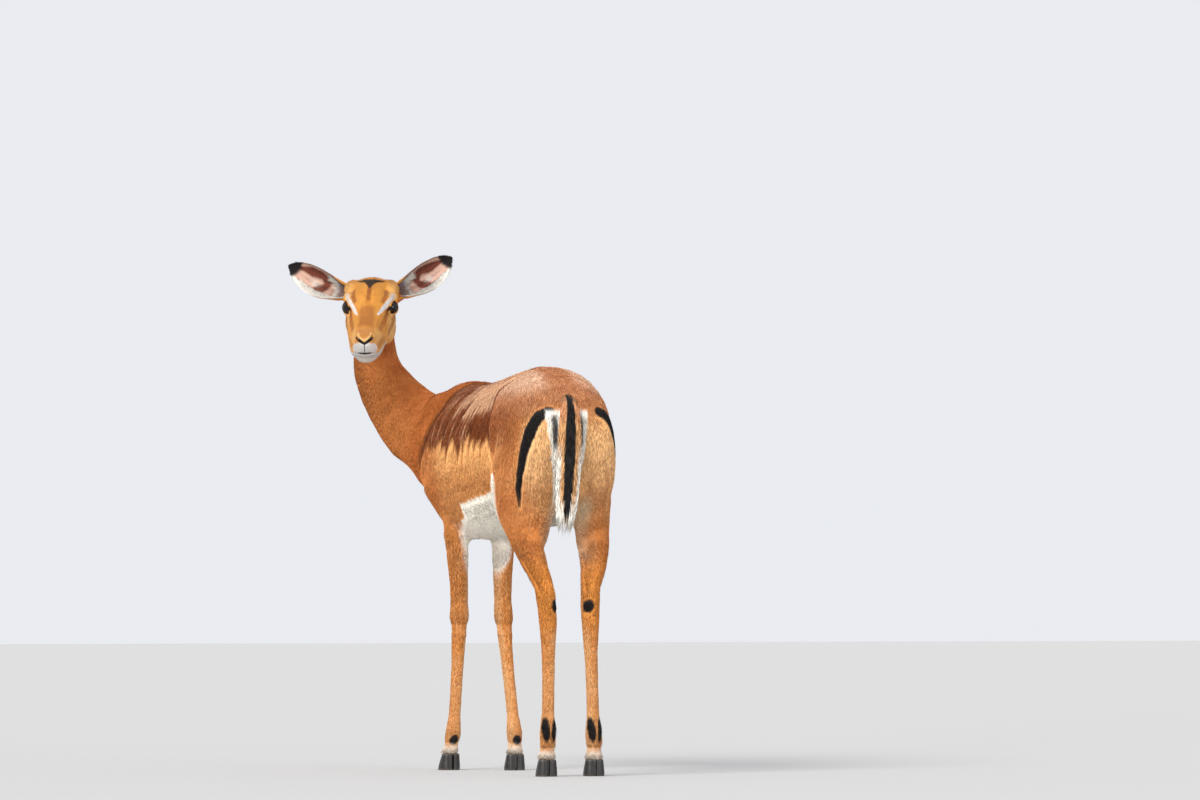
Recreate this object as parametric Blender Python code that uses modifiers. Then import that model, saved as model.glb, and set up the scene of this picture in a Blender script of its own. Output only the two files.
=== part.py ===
"""A life-size female impala, standing and looking back over its left shoulder.

The flesh is modelled whole: lofts along the trunk, neck, head and legs, with
ellipsoids for the larger muscles, are fused into one surface.  Thin cuts then
part it into head, neck, trunk and four legs.  Ears, eyes, tail and the eight
claws of the cloven hooves are solids of their own.

Metres, +Z up.  The animal faces -Y, and its left side is towards +X.
"""

import math

import bmesh
import bpy
from mathutils import Matrix, Vector

# ---------------------------------------------------------------- dimensions
GAP = 0.0003  # clearance between neighbouring solids
VOXEL = 0.0045  # grain of the fused flesh
TRIANGLES = {"head": 1950, "legs": 1350, "body": 1840}  # of the flesh

# The spine bends to the left from the loin forward, as a circular arc.
BEND_START_Y = 0.25
BEND_RADIUS = 2.9

# Head: the point midway between the eyes, where the head points, and its size.
EYE_MID = Vector((0.220, -0.380, 1.010))
HEAD_TURN = math.radians(22.3)  # from +Y towards +X
HEAD_PITCH = math.radians(26)  # below the horizon
EYE_RADIUS = 0.0180
EYE_SIDE = 0.0428  # from the head's middle plane to the eye's centre

# The lids open along an axis between sideways and forward.
LID_AXIS = (0.73, 0.63, 0.27)
LID_HALF_WIDTH, LID_HALF_HEIGHT = 0.0148, 0.0120

# Ears, from EYE_MID in the head's frame: root, then how far along the axis the
# ear leaves its mound.  The mouth of the ear looks along EAR_OPENING.
EAR_ROOT = (0.044, -0.060, 0.004)  # side, forward, up
EAR_MOUND = (0.0215, 0.0195, 0.0300)  # radii, the last along the ear
EAR_PARTING = 0.018
EAR_LENGTH = {"left": 0.162, "right": 0.168}
EAR_RAISE = {"left": math.radians(33), "right": math.radians(25)}
EAR_SWEEP = -0.16  # backward lean of the axis
EAR_DROOP = 0.0060  # how far its middle sags below the axis
EAR_THICKNESS = 0.0032
# Share of the length, half width of the hide across, half angle it curls through.
EAR_SECTIONS = (
    (0.00, 0.0480, 150),
    (0.15, 0.0485, 122),
    (0.32, 0.0465, 93),
    (0.52, 0.0430, 75),
    (0.72, 0.0335, 61),
    (0.88, 0.0190, 49),
    (1.00, 0.0040, 40),
)

# Hooves: two claws to a foot, each flat on the ground and flat where the foot
# starts.  Outline of the outer wall: share of length from heel, share of width.
HOOF_TOP = 0.036
CLAW_LENGTH = 0.054
CLAW_WIDTH = 0.0205
CLEFT = 0.0030
CLAW_SPLAY = math.radians(3)
CLAW_WALL = (
    (0.00, 0.10), (0.04, 0.55), (0.16, 0.90), (0.36, 1.00),
    (0.58, 0.92), (0.78, 0.66), (0.93, 0.32), (1.00, 0.08),
)
# Height, how far the toe has drawn back, how far the wall has drawn in.
CLAW_LEVELS = ((0.0, 0.0, 0.0), (0.010, 0.004, 0.0004), (0.022, 0.0105, 0.0018),
               (HOOF_TOP, 0.0195, 0.0034))

# Trunk sections, rear to front: y, back height, belly height, half width.
TRUNK = (
    (0.394, 0.765, 0.665, 0.040),
    (0.370, 0.802, 0.630, 0.074),
    (0.320, 0.840, 0.595, 0.102),
    (0.250, 0.863, 0.572, 0.118),
    (0.160, 0.866, 0.555, 0.121),
    (0.070, 0.856, 0.527, 0.130),
    (-0.020, 0.845, 0.503, 0.137),
    (-0.110, 0.839, 0.497, 0.130),
    (-0.180, 0.846, 0.500, 0.114),
    (-0.240, 0.846, 0.508, 0.098),
    (-0.295, 0.820, 0.535, 0.083),
    (-0.340, 0.775, 0.575, 0.064),
    (-0.372, 0.720, 0.630, 0.035),
)

# Neck: centre, half width, half depth, and which way its nape faces.
NECK = (
    ((0.048, -0.215, 0.690), 0.074, 0.120, (0.0, 0.25, 1.0)),
    ((0.081, -0.323, 0.710), 0.067, 0.107, (-0.1, 0.45, 0.9)),
    ((0.126, -0.422, 0.776), 0.056, 0.081, (-0.5, 0.50, 0.7)),
    ((0.168, -0.480, 0.864), 0.048, 0.059, (-0.9, 0.20, 0.4)),
    ((0.179, -0.483, 0.940), 0.045, 0.050, (-0.7, -0.60, 0.2)),
    ((0.186, -0.458, 1.005), 0.044, 0.049, (-0.4, -0.90, 0.1)),
    ((0.194, -0.436, 1.032), 0.034, 0.038, (-0.4, -0.90, 0.1)),
)

# Head sections, nape to lips, from EYE_MID: distance forward, top, bottom,
# half width, how much wider the top is than the jaw, and squareness.
HEAD = (
    (-0.100, 0.020, -0.032, 0.030, 0.00, 2.0),
    (-0.078, 0.039, -0.058, 0.045, 0.02, 2.1),
    (-0.048, 0.048, -0.074, 0.053, 0.02, 2.3),
    (-0.015, 0.048, -0.079, 0.053, 0.00, 2.3),
    (0.018, 0.041, -0.076, 0.0505, -0.12, 2.3),
    (0.052, 0.030, -0.070, 0.0465, -0.22, 2.2),
    (0.086, 0.018, -0.0655, 0.0410, -0.28, 2.2),
    (0.116, 0.009, -0.0665, 0.0360, -0.28, 2.3),
    (0.138, 0.002, -0.065, 0.0325, -0.24, 2.4),
    (0.152, -0.008, -0.054, 0.0255, -0.15, 2.3),
    (0.159, -0.018, -0.040, 0.0115, 0.00, 2.0),
)

# Leg sections by height: z, half width, half depth fore and aft.
FORE_SECTIONS = (
    (0.640, 0.030, 0.050),
    (0.590, 0.035, 0.056),
    (0.535, 0.031, 0.047),
    (0.470, 0.0235, 0.0340),
    (0.405, 0.0200, 0.0262),
    (0.362, 0.0198, 0.0225),
    (0.335, 0.0215, 0.0235),
    (0.300, 0.0175, 0.0200),
    (0.240, 0.0148, 0.0172),
    (0.150, 0.0138, 0.0165),
    (0.112, 0.0145, 0.0180),
    (0.084, 0.0178, 0.0212),
    (0.056, 0.0170, 0.0185),
    (0.034, 0.0205, 0.0225),
    (0.022, 0.0190, 0.0210),
)
HIND_SECTIONS = (
    (0.680, 0.040, 0.085),
    (0.600, 0.040, 0.100),
    (0.540, 0.036, 0.083),
    (0.490, 0.0315, 0.062),
    (0.445, 0.0260, 0.0440),
    (0.400, 0.0205, 0.0315),
    (0.358, 0.0198, 0.0290),
    (0.318, 0.0188, 0.0245),
    (0.255, 0.0148, 0.0185),
    (0.160, 0.0138, 0.0175),
    (0.120, 0.0148, 0.0190),
    (0.092, 0.0180, 0.0225),
    (0.060, 0.0170, 0.0190),
    (0.036, 0.0205, 0.0230),
    (0.024, 0.0190, 0.0210),
)

# Where each leg's axis runs: x, y, z at its joints, top down.
LEGS = {
    "front_left": (
        (0.078, -0.235, 0.660),
        (0.087, -0.178, 0.540),
        (0.083, -0.163, 0.335),
        (0.091, -0.181, 0.084),
        (0.101, -0.203, 0.020),
    ),
    "front_right": (
        (-0.022, -0.258, 0.660),
        (-0.026, -0.198, 0.540),
        (-0.019, -0.168, 0.335),
        (-0.029, -0.122, 0.084),
        (-0.033, -0.141, 0.020),
    ),
    "hind_left": (
        (0.086, 0.225, 0.680),
        (0.088, 0.240, 0.560),
        (0.076, 0.326, 0.455),
        (0.059, 0.371, 0.355),
        (0.050, 0.350, 0.092),
        (0.048, 0.325, 0.020),
    ),
    "hind_right": (
        (-0.078, 0.225, 0.680),
        (-0.080, 0.240, 0.560),
        (-0.060, 0.324, 0.455),
        (-0.037, 0.369, 0.355),
        (-0.051, 0.350, 0.092),
        (-0.059, 0.327, 0.020),
    ),
}

# Larger muscles and bony points of the left side, on the straight body:
# centre, radii, and lean (degrees that the top tips towards the tail).
BODY_MASSES = (
    ((0.056, -0.250, 0.715), (0.042, 0.055, 0.120), 26),  # shoulder blade
    ((0.060, -0.232, 0.605), (0.038, 0.080, 0.066), 0),  # upper arm
    ((0.044, -0.296, 0.645), (0.036, 0.044, 0.066), 0),  # point of the shoulder
    ((0.070, 0.232, 0.680), (0.050, 0.118, 0.138), -12),  # thigh
    ((0.056, 0.330, 0.660), (0.050, 0.062, 0.135), 6),  # buttock
    ((0.062, 0.302, 0.560), (0.036, 0.060, 0.100), 14),  # hamstring
    ((0.062, 0.150, 0.790), (0.048, 0.075, 0.048), 0),  # hip bone
)
BRISKET = ((0.0, -0.278, 0.604), (0.056, 0.072, 0.078), 0)
CREST = ((0.040, -0.268, 0.772), (0.048, 0.078, 0.054), 0)
UDDER = ((0.0, 0.205, 0.548), (0.045, 0.060, 0.028), 0)

# Masses of the head: forward, side, up from EYE_MID, and radii alike.
HEAD_MASSES = (
    ((-0.002, 0.041, 0.003), (0.030, 0.0180, 0.0245)),  # rim of the eye socket
    ((-0.008, 0.046, 0.0180), (0.025, 0.0165, 0.0120)),  # brow
    ((-0.045, 0.039, 0.0260), (0.030, 0.0225, 0.0180)),  # muscle before the ear
    ((0.006, 0.037, -0.031), (0.046, 0.0195, 0.028)),  # cheekbone
    ((-0.006, 0.034, -0.056), (0.056, 0.0200, 0.026)),  # jaw muscle
    ((0.137, 0.0120, -0.008), (0.021, 0.0110, 0.0115)),  # wing of the nostril
    ((0.118, 0.0215, -0.044), (0.032, 0.0155, 0.0150)),  # upper lip
)
CHIN = ((0.124, 0.0, -0.0635), (0.023, 0.0225, 0.0125))

# Tail: centre, half width, half thickness.
TAIL = (
    ((0.008, 0.345, 0.792), 0.013, 0.011),
    ((0.014, 0.384, 0.778), 0.017, 0.013),
    ((0.020, 0.408, 0.738), 0.021, 0.0125),
    ((0.025, 0.416, 0.670), 0.026, 0.0120),
    ((0.030, 0.418, 0.590), 0.027, 0.0120),
    ((0.035, 0.417, 0.525), 0.019, 0.0110),
    ((0.041, 0.415, 0.480), 0.009, 0.0070),
)

# Thin cuts: a point on the plane, which way the further part lies, and how
# far the cut reaches to each side and beyond.
NECK_CUT = ((0.075, -0.335, 0.735), (0.30, -0.75, 0.55), 0.36, 0.70)
HEAD_CUT = ((0.190, -0.460, 0.975), (0.20, 0.60, 0.77), 0.24, 0.40)
# Legs part from the trunk along a plane that rises outward from the crotch:
# where it starts (x, z), where it ends, and the span of y.
LEG_CUTS = {
    "front_left": ((0.034, 0.480), (0.190, 0.645), (-0.300, -0.090)),
    "front_right": ((0.026, 0.480), (-0.130, 0.645), (-0.320, -0.100)),
    "hind_left": ((0.012, 0.500), (0.180, 0.720), (0.150, 0.600)),
    "hind_right": ((-0.012, 0.500), (-0.180, 0.720), (0.150, 0.600)),
}

# Coat and horn colours, linear.
COLOURS = {
    "coat": ((0.50, 0.19, 0.065), 0.75),
    "tail": ((0.62, 0.48, 0.36), 0.80),
    "ear": ((0.42, 0.24, 0.15), 0.80),
    "eye": ((0.012, 0.008, 0.006), 0.08),
    "claw": ((0.030, 0.026, 0.024), 0.45),
}


# ------------------------------------------------------------------- helpers
def smooth_between(values, count):
    """Catmull-Rom points through the values, count steps to each interval."""
    rows = [[float(v) for v in row] for row in values]
    rows = [rows[0]] + rows + [rows[-1]]
    out = []
    for i in range(1, len(rows) - 2):
        for k in range(count):
            t = k / count
            out.append([catmull(rows[i - 1][c], rows[i][c], rows[i + 1][c], rows[i + 2][c], t)
                        for c in range(len(rows[0]))])
    out.append(rows[-2])
    return out


def catmull(a, b, c, d, t):
    """One Catmull-Rom value between b and c."""
    return 0.5 * (2 * b + (c - a) * t + (2 * a - 5 * b + 4 * c - d) * t * t
                  + (3 * b - a - 3 * c + d) * t ** 3)


def power(value, exponent):
    """value raised to exponent, keeping its sign."""
    return math.copysign(abs(value) ** exponent, value)


def ring(centre, side, up, half_width, top, bottom, taper=0.0, square=2.0, count=28):
    """Points of one section: a superellipse, wider above by taper."""
    points = []
    for k in range(count):
        a = 2 * math.pi * k / count
        c, s = power(math.cos(a), 2 / square), power(math.sin(a), 2 / square)
        height = top if s > 0 else bottom
        points.append(centre + side * (half_width * c * (1 + taper * s)) + up * (height * s))
    return points


def loft(mesh, rings):
    """Adds a closed tube through the rings to a bmesh."""
    loops = [[mesh.verts.new(p) for p in points] for points in rings]
    count = len(loops[0])
    for a, b in zip(loops, loops[1:]):
        for k in range(count):
            mesh.faces.new((a[k], a[(k + 1) % count], b[(k + 1) % count], b[k]))
    mesh.faces.new(loops[0][::-1])
    mesh.faces.new(loops[-1])


def ellipsoid(mesh, matrix, radii):
    """Adds an ellipsoid with the given radii along the matrix's axes."""
    scale = Matrix.Diagonal((*radii, 1.0))
    bmesh.ops.create_uvsphere(mesh, u_segments=28, v_segments=18, radius=1.0,
                              matrix=matrix @ scale)


def object_from(name, mesh, collection):
    """Makes a named object of a bmesh, with its faces outward."""
    bmesh.ops.recalc_face_normals(mesh, faces=mesh.faces)
    data = bpy.data.meshes.new(name)
    mesh.to_mesh(data)
    mesh.free()
    obj = bpy.data.objects.new(name, data)
    collection.objects.link(obj)
    return obj


def evaluated_copy(obj):
    """The object's mesh with its modifiers applied."""
    graph = bpy.context.evaluated_depsgraph_get()
    return bpy.data.meshes.new_from_object(obj.evaluated_get(graph))


def apply_modifiers(obj):
    """Replaces the object's mesh by its evaluated one."""
    data = evaluated_copy(obj)
    obj.modifiers.clear()
    obj.data = data


def boolean(obj, cutter, operation):
    """Cuts or joins obj with cutter at once."""
    modifier = obj.modifiers.new(operation.title(), "BOOLEAN")
    modifier.operation = operation
    modifier.solver = "EXACT"
    modifier.object = cutter
    apply_modifiers(obj)


def grown(obj, amount, collection):
    """A wire copy of obj, swollen by amount, to cut a clearance with."""
    data = obj.data.copy()
    mesh = bmesh.new()
    mesh.from_mesh(data)
    mesh.normal_update()
    shift = [v.normal * amount for v in mesh.verts]
    for vert, step in zip(mesh.verts, shift):
        vert.co += step
    mesh.to_mesh(data)
    mesh.free()
    copy = bpy.data.objects.new(obj.name + "_cutter", data)
    collection.objects.link(copy)
    return as_cutter(copy)


def as_cutter(obj):
    obj.hide_render = True
    obj.display_type = "WIRE"
    return obj


def material(name, finish):
    """A Principled material of a colour and roughness."""
    colour, roughness = finish
    made = bpy.data.materials.new(name)
    made.use_nodes = True
    shader = made.node_tree.nodes["Principled BSDF"]
    shader.inputs["Base Color"].default_value = (*colour, 1.0)
    shader.inputs["Roughness"].default_value = roughness
    return made


def bent(point):
    """Carries a point of the straight body onto the bent spine."""
    angle = (BEND_START_Y - point.y) / BEND_RADIUS
    if angle <= 0:
        return point
    side = point.x
    return Vector((
        BEND_RADIUS * (1 - math.cos(angle)) + side * math.cos(angle),
        BEND_START_Y - BEND_RADIUS * math.sin(angle) + side * math.sin(angle),
        point.z,
    ))


def head_matrix():
    """Head frame: X to the animal's left, Y to its nose, Z up."""
    level = Vector((math.sin(HEAD_TURN), math.cos(HEAD_TURN), 0.0))
    forward = level * math.cos(HEAD_PITCH) - Vector((0, 0, 1)) * math.sin(HEAD_PITCH)
    left = Vector((0, 0, 1)).cross(level)
    up = left.cross(forward) * -1
    return Matrix((
        (left.x, forward.x, up.x, EYE_MID.x),
        (left.y, forward.y, up.y, EYE_MID.y),
        (left.z, forward.z, up.z, EYE_MID.z),
        (0, 0, 0, 1),
    ))


# --------------------------------------------------------------------- flesh
def add_trunk(mesh):
    """The barrel of the body and its muscles, then bent as the spine bends."""
    first = len(mesh.verts)
    side, up = Vector((1, 0, 0)), Vector((0, 0, 1))
    rings = []
    for y, back, belly, half in smooth_between(TRUNK, 3):
        middle = belly + 0.56 * (back - belly)
        rings.append(ring(Vector((0, y, middle)), side, up, half,
                          back - middle, middle - belly, -0.06, 2.15))
    loft(mesh, rings)
    for centre, radii, lean in BODY_MASSES:
        for sign in (1, -1):
            place = Matrix.Translation((sign * centre[0], centre[1], centre[2]))
            ellipsoid(mesh, place @ Matrix.Rotation(math.radians(-lean), 4, "X"), radii)
    for centre, radii, _ in (BRISKET, UDDER, CREST):
        ellipsoid(mesh, Matrix.Translation(centre), radii)
    mesh.verts.ensure_lookup_table()
    for vert in mesh.verts[first:]:
        vert.co = bent(vert.co)


def add_neck(mesh):
    rows = [(*c, w, d, *n) for c, w, d, n in NECK]
    rows = smooth_between(rows, 4)
    centres = [Vector(row[:3]) for row in rows]
    rings = []
    for i, row in enumerate(rows):
        along = (centres[min(i + 1, len(rows) - 1)] - centres[max(i - 1, 0)]).normalized()
        nape = Vector(row[5:8])
        nape = (nape - along * nape.dot(along)).normalized()
        rings.append(ring(centres[i], along.cross(nape), nape, row[3], row[4], row[4]))
    loft(mesh, rings)


def add_head(mesh):
    frame = head_matrix()
    turn = frame.to_3x3()
    side, up = turn @ Vector((1, 0, 0)), turn @ Vector((0, 0, 1))
    rings = []
    for forward, top, bottom, half, taper, square in smooth_between(HEAD, 3):
        middle = 0.5 * (top + bottom)
        rings.append(ring(frame @ Vector((0, forward, middle)), side, up, half,
                          top - middle, middle - bottom, taper, square))
    loft(mesh, rings)
    for (forward, lateral, height), (length, width, depth) in HEAD_MASSES:
        for sign in (1, -1):
            place = frame @ Matrix.Translation((sign * lateral, forward, height))
            ellipsoid(mesh, place, (width, length, depth))
    (forward, lateral, height), (length, width, depth) = CHIN
    ellipsoid(mesh, frame @ Matrix.Translation((lateral, forward, height)),
              (width, length, depth))


def leg_axis(joints, height):
    """The leg's centre at a height, on a smooth line through its joints."""
    rows = smooth_between(joints, 12)
    for upper, lower in zip(rows, rows[1:]):
        if lower[2] <= height <= upper[2]:
            share = (upper[2] - height) / max(upper[2] - lower[2], 1e-9)
            return Vector(upper).lerp(Vector(lower), share)
    return Vector(rows[0] if height > rows[0][2] else rows[-1])


def add_leg(mesh, name):
    joints = LEGS[name]
    sections = FORE_SECTIONS if name.startswith("front") else HIND_SECTIONS
    side, front = Vector((1, 0, 0)), Vector((0, 1, 0))
    rings = []
    for height, width, depth in smooth_between(sections, 3):
        rings.append(ring(leg_axis(joints, height), side, front, width, depth, depth,
                          count=20))
    loft(mesh, rings)
    if name.startswith("hind"):
        add_hock(mesh, joints)


def add_hock(mesh, joints):
    """The heel bone and the tendon that rises from it behind the shin."""
    hock = Vector(joints[3])
    shin = Vector(joints[2])
    heel = hock + Vector((0, 0.018, 0.012))
    ellipsoid(mesh, Matrix.Translation(heel), (0.0130, 0.0155, 0.040))
    calf = shin + Vector((0, 0.018, 0.042))
    side = Vector((1, 0, 0))
    along = (calf - heel).normalized()
    rear = side.cross(along)
    rows = [(heel, 0.0085, 0.0080), (heel.lerp(calf, 0.5), 0.0080, 0.0090), (calf, 0.014, 0.018)]
    loft(mesh, [ring(c, side, rear, w, d, d, count=14) for c, w, d in rows])


def make_flesh(collection):
    """All the flesh as one closed surface, thinned to the triangle budget."""
    mesh = bmesh.new()
    add_trunk(mesh)
    add_neck(mesh)
    add_head(mesh)
    add_ear_mounds(mesh)
    for name in LEGS:
        add_leg(mesh, name)
    flesh = object_from("flesh", mesh, collection)
    fuse = flesh.modifiers.new("Fuse", "REMESH")
    fuse.mode = "VOXEL"
    fuse.voxel_size = VOXEL
    apply_modifiers(flesh)
    soften(flesh)
    thin_out(flesh)
    return flesh


def soften(flesh):
    """Blends the joins between masses, more on the trunk than on head and legs."""
    group = flesh.vertex_groups.new(name="soft")
    for vert in flesh.data.vertices:
        from_leg = min(1.0, max(0.0, (vert.co.z - 0.44) / 0.08))
        from_head = min(1.0, max(0.0, ((vert.co - EYE_MID).length - 0.15) / 0.06))
        group.add([vert.index], 0.08 + 0.92 * min(from_leg, from_head), "REPLACE")
    smooth = flesh.modifiers.new("Soften", "SMOOTH")
    smooth.factor = 0.5
    smooth.iterations = 80
    smooth.vertex_group = "soft"
    apply_modifiers(flesh)


def zone_of(point):
    """Which share of the triangle budget a point of the flesh draws on."""
    if (point - EYE_MID).length < 0.185:
        return "head"
    return "legs" if point.z < 0.46 else "body"


def thin_out(flesh):
    """Fewer triangles: each zone in turn is brought to its own budget."""
    for zone, budget in TRIANGLES.items():
        faces = flesh.data.polygons
        total = sum(len(face.vertices) - 2 for face in faces)
        here = sum(len(face.vertices) - 2 for face in faces if zone_of(face.center) == zone)
        flesh.vertex_groups.clear()
        group = flesh.vertex_groups.new(name=zone)
        for vert in flesh.data.vertices:
            group.add([vert.index], float(zone_of(vert.co) == zone), "REPLACE")
        thin = flesh.modifiers.new("Thin", "DECIMATE")
        thin.vertex_group = zone
        thin.vertex_group_factor = 1.0
        thin.ratio = (total - here + budget) / total
        thin.use_collapse_triangulate = True
        apply_modifiers(flesh)
    flesh.vertex_groups.clear()


# ------------------------------------------------------------ parts and cuts
def box_region(name, cut, slack, collection):
    """The space beyond a cutting plane, drawn back or forth by slack."""
    point, normal, reach, length = cut
    normal = Vector(normal).normalized()
    mesh = bmesh.new()
    turn = normal.to_track_quat("Z", "Y").to_matrix().to_4x4()
    middle = Vector(point) + normal * (length / 2 - slack)
    size = Matrix.Diagonal((2 * reach, 2 * reach, length, 1.0))
    bmesh.ops.create_cube(mesh, size=1.0, matrix=Matrix.Translation(middle) @ turn @ size)
    return as_cutter(object_from(name, mesh, collection))


def leg_region(name, slack, floor, collection):
    """The space of one leg under its slanting cut, grown by slack."""
    (x0, z0), (x1, z1), (rear, front) = LEG_CUTS[name]
    outward = 1 if x1 > x0 else -1
    x0 -= outward * slack
    z0, z1 = z0 + 1.3 * slack, z1 + 1.3 * slack
    corners = ((x0, floor), (x1, floor), (x1, z1), (x0, z0))
    mesh = bmesh.new()
    near = [mesh.verts.new((x, rear - slack, z)) for x, z in corners]
    far = [mesh.verts.new((x, front + slack, z)) for x, z in corners]
    mesh.faces.new(near)
    mesh.faces.new(far)
    for k in range(4):
        mesh.faces.new((near[k], near[(k + 1) % 4], far[(k + 1) % 4], far[k]))
    return as_cutter(object_from(name + "_region", mesh, collection))


def share_of(flesh, name, collection):
    """A named copy of the flesh, to be cut down to one part."""
    part = bpy.data.objects.new(name, flesh.data.copy())
    collection.objects.link(part)
    return part


def keep_largest(obj):
    """Drops any loose crumb that a cut has left."""
    mesh = bmesh.new()
    mesh.from_mesh(obj.data)
    left, pieces = set(mesh.verts), []
    while left:
        piece, edge = set(), [left.pop()]
        while edge:
            vert = edge.pop()
            piece.add(vert)
            for link in vert.link_edges:
                other = link.other_vert(vert)
                if other in left:
                    left.discard(other)
                    edge.append(other)
        pieces.append(piece)
    pieces.sort(key=len, reverse=True)
    crumbs = [vert for piece in pieces[1:] for vert in piece]
    bmesh.ops.delete(mesh, geom=crumbs, context="VERTS")
    bmesh.ops.remove_doubles(mesh, verts=mesh.verts, dist=0.00005)
    bmesh.ops.triangulate(mesh, faces=mesh.faces)
    mesh.to_mesh(obj.data)
    mesh.free()


def part_flesh(flesh, collection, cutters):
    """Cuts the whole flesh into head, neck, legs and trunk."""
    beyond_head = box_region("head_region", HEAD_CUT, 0.0, cutters)
    beyond_head_wide = box_region("head_gap", HEAD_CUT, GAP, cutters)
    beyond_neck = box_region("neck_region", NECK_CUT, 0.0, cutters)
    beyond_neck_wide = box_region("neck_gap", NECK_CUT, GAP, cutters)
    head = share_of(flesh, "head", collection)
    boolean(head, beyond_head, "INTERSECT")
    neck = share_of(flesh, "neck", collection)
    boolean(neck, beyond_neck, "INTERSECT")
    boolean(neck, beyond_head_wide, "DIFFERENCE")
    trunk = share_of(flesh, "trunk", collection)
    boolean(trunk, beyond_neck_wide, "DIFFERENCE")
    parts = [head, neck, trunk]
    for name in LEGS:
        leg = share_of(flesh, "leg_" + name, collection)
        boolean(leg, leg_region(name, 0.0, HOOF_TOP + GAP, cutters), "INTERSECT")
        boolean(trunk, leg_region(name, GAP, -0.05, cutters), "DIFFERENCE")
        parts.append(leg)
    for part in parts:
        keep_largest(part)
    return head, trunk


def add_tail(trunk, collection, cutters):
    """A flat, fringed tail, let into the trunk with a clearance."""
    mesh = bmesh.new()
    rows = smooth_between([(*c, w, d) for c, w, d in TAIL], 2)
    centres = [Vector(row[:3]) for row in rows]
    side = Vector((1, 0, 0))
    rings = []
    for i, row in enumerate(rows):
        along = (centres[min(i + 1, len(rows) - 1)] - centres[max(i - 1, 0)]).normalized()
        rings.append(ring(centres[i], side, side.cross(along), row[3], row[4], row[4],
                          count=12))
    loft(mesh, rings)
    tail = object_from("tail", mesh, collection)
    boolean(trunk, grown(tail, GAP, cutters), "DIFFERENCE")
    keep_largest(trunk)


def add_eye(side, head, collection, cutters):
    """An eyeball in its socket, behind lids that open as an oval."""
    sign = 1 if side == "left" else -1
    frame = head_matrix()
    centre = frame @ Vector((sign * EYE_SIDE, 0, 0))
    axis = frame.to_3x3() @ Vector((sign * LID_AXIS[0], LID_AXIS[1], LID_AXIS[2]))
    turn = axis.to_track_quat("Z", "Y").to_matrix().to_4x4()
    mesh = bmesh.new()
    place = Matrix.Translation(centre) @ turn
    bmesh.ops.create_uvsphere(mesh, u_segments=14, v_segments=8, radius=EYE_RADIUS,
                              matrix=place)
    eye = object_from("eye_" + side, mesh, collection)
    socket = bmesh.new()
    bmesh.ops.create_uvsphere(socket, u_segments=14, v_segments=8,
                              radius=EYE_RADIUS + GAP, matrix=place)
    boolean(head, as_cutter(object_from(eye.name + "_socket", socket, cutters)), "DIFFERENCE")
    lids = bmesh.new()
    level = turn @ Matrix.Diagonal((LID_HALF_HEIGHT, LID_HALF_WIDTH, 0.05, 1.0))
    bmesh.ops.create_cone(lids, cap_ends=True, segments=20, radius1=0.70, radius2=2.10, depth=1.0,
                          matrix=Matrix.Translation(centre + axis * 0.025) @ level)
    boolean(head, as_cutter(object_from(eye.name + "_lids", lids, cutters)), "DIFFERENCE")


def ear_frame(side):
    """The ear's frame: X across, Y the way its mouth looks, Z along it."""
    sign = 1 if side == "left" else -1
    frame = head_matrix()
    raised = EAR_RAISE[side]
    level = Vector((frame[0][0], frame[1][0], 0.0)).normalized() * sign
    back = Vector((frame[0][1], frame[1][1], 0.0)).normalized()
    along = (level * math.cos(raised) + Vector((0, 0, 1)) * math.sin(raised)
             + back * EAR_SWEEP).normalized()
    mouth = back + Vector((0, 0, -0.12)) + level * 0.10
    mouth = (mouth - along * mouth.dot(along)).normalized()
    across = mouth.cross(along)
    root = frame @ Vector((sign * EAR_ROOT[0], EAR_ROOT[1], EAR_ROOT[2]))
    return Matrix((
        (across.x, mouth.x, along.x, root.x),
        (across.y, mouth.y, along.y, root.y),
        (across.z, mouth.z, along.z, root.z),
        (0, 0, 0, 1),
    ))


def add_ear_mounds(mesh):
    for side in ("left", "right"):
        place = ear_frame(side) @ Matrix.Translation((0, 0, 0.006))
        ellipsoid(mesh, place, EAR_MOUND)


def add_ear(side, head, collection, cutters):
    """A curled leaf of hide, thick as EAR_THICKNESS, standing on its mound."""
    frame = ear_frame(side)
    rows = smooth_between(EAR_SECTIONS, 2)
    outer, inner = [], []
    steps = 8
    start = EAR_PARTING + GAP
    for share, half, curl in rows:
        height = start + share * (EAR_LENGTH[side] - start)
        angle = math.radians(curl)
        radius = half / angle
        sag = EAR_DROOP * math.sin(math.pi * share) * (-1 if side == "left" else 1)
        front, behind = [], []
        for k in range(steps + 1):
            a = angle * (2 * k / steps - 1)
            fade = 1.0 - 0.55 * abs(2 * k / steps - 1) ** 3
            for reach, line in ((radius, behind), (radius - EAR_THICKNESS * fade, front)):
                reach = max(reach, 0.0012)
                line.append(frame @ Vector((reach * math.sin(a) + sag,
                                            0.55 * radius - reach * math.cos(a), height)))
        outer.append(behind)
        inner.append(front)
    mesh = bmesh.new()
    shell = [[mesh.verts.new(p) for p in behind + front[::-1]]
             for behind, front in zip(outer, inner)]
    count = len(shell[0])
    for a, b in zip(shell, shell[1:]):
        for k in range(count):
            mesh.faces.new((a[k], a[(k + 1) % count], b[(k + 1) % count], b[k]))
    for end in (shell[0], shell[-1]):
        for k in range(steps):
            mesh.faces.new((end[k], end[k + 1], end[count - 2 - k], end[count - 1 - k]))
    object_from("ear_" + side, mesh, collection)
    point = frame @ Vector((0, 0, EAR_PARTING))
    along = frame.to_3x3() @ Vector((0, 0, 1))
    beyond = box_region("ear_" + side + "_region", (point, along, 0.030, 0.08), 0.0, cutters)
    boolean(head, beyond, "DIFFERENCE")


def foot_of(name):
    """Where the leg meets its hoof, and which way the toes point."""
    low, high = (Vector(p) for p in (LEGS[name][-1], LEGS[name][-2]))
    toes = Vector((0.4 * (low.x - high.x), low.y - high.y, 0)).normalized()
    return leg_axis(LEGS[name], HOOF_TOP), toes


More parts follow.
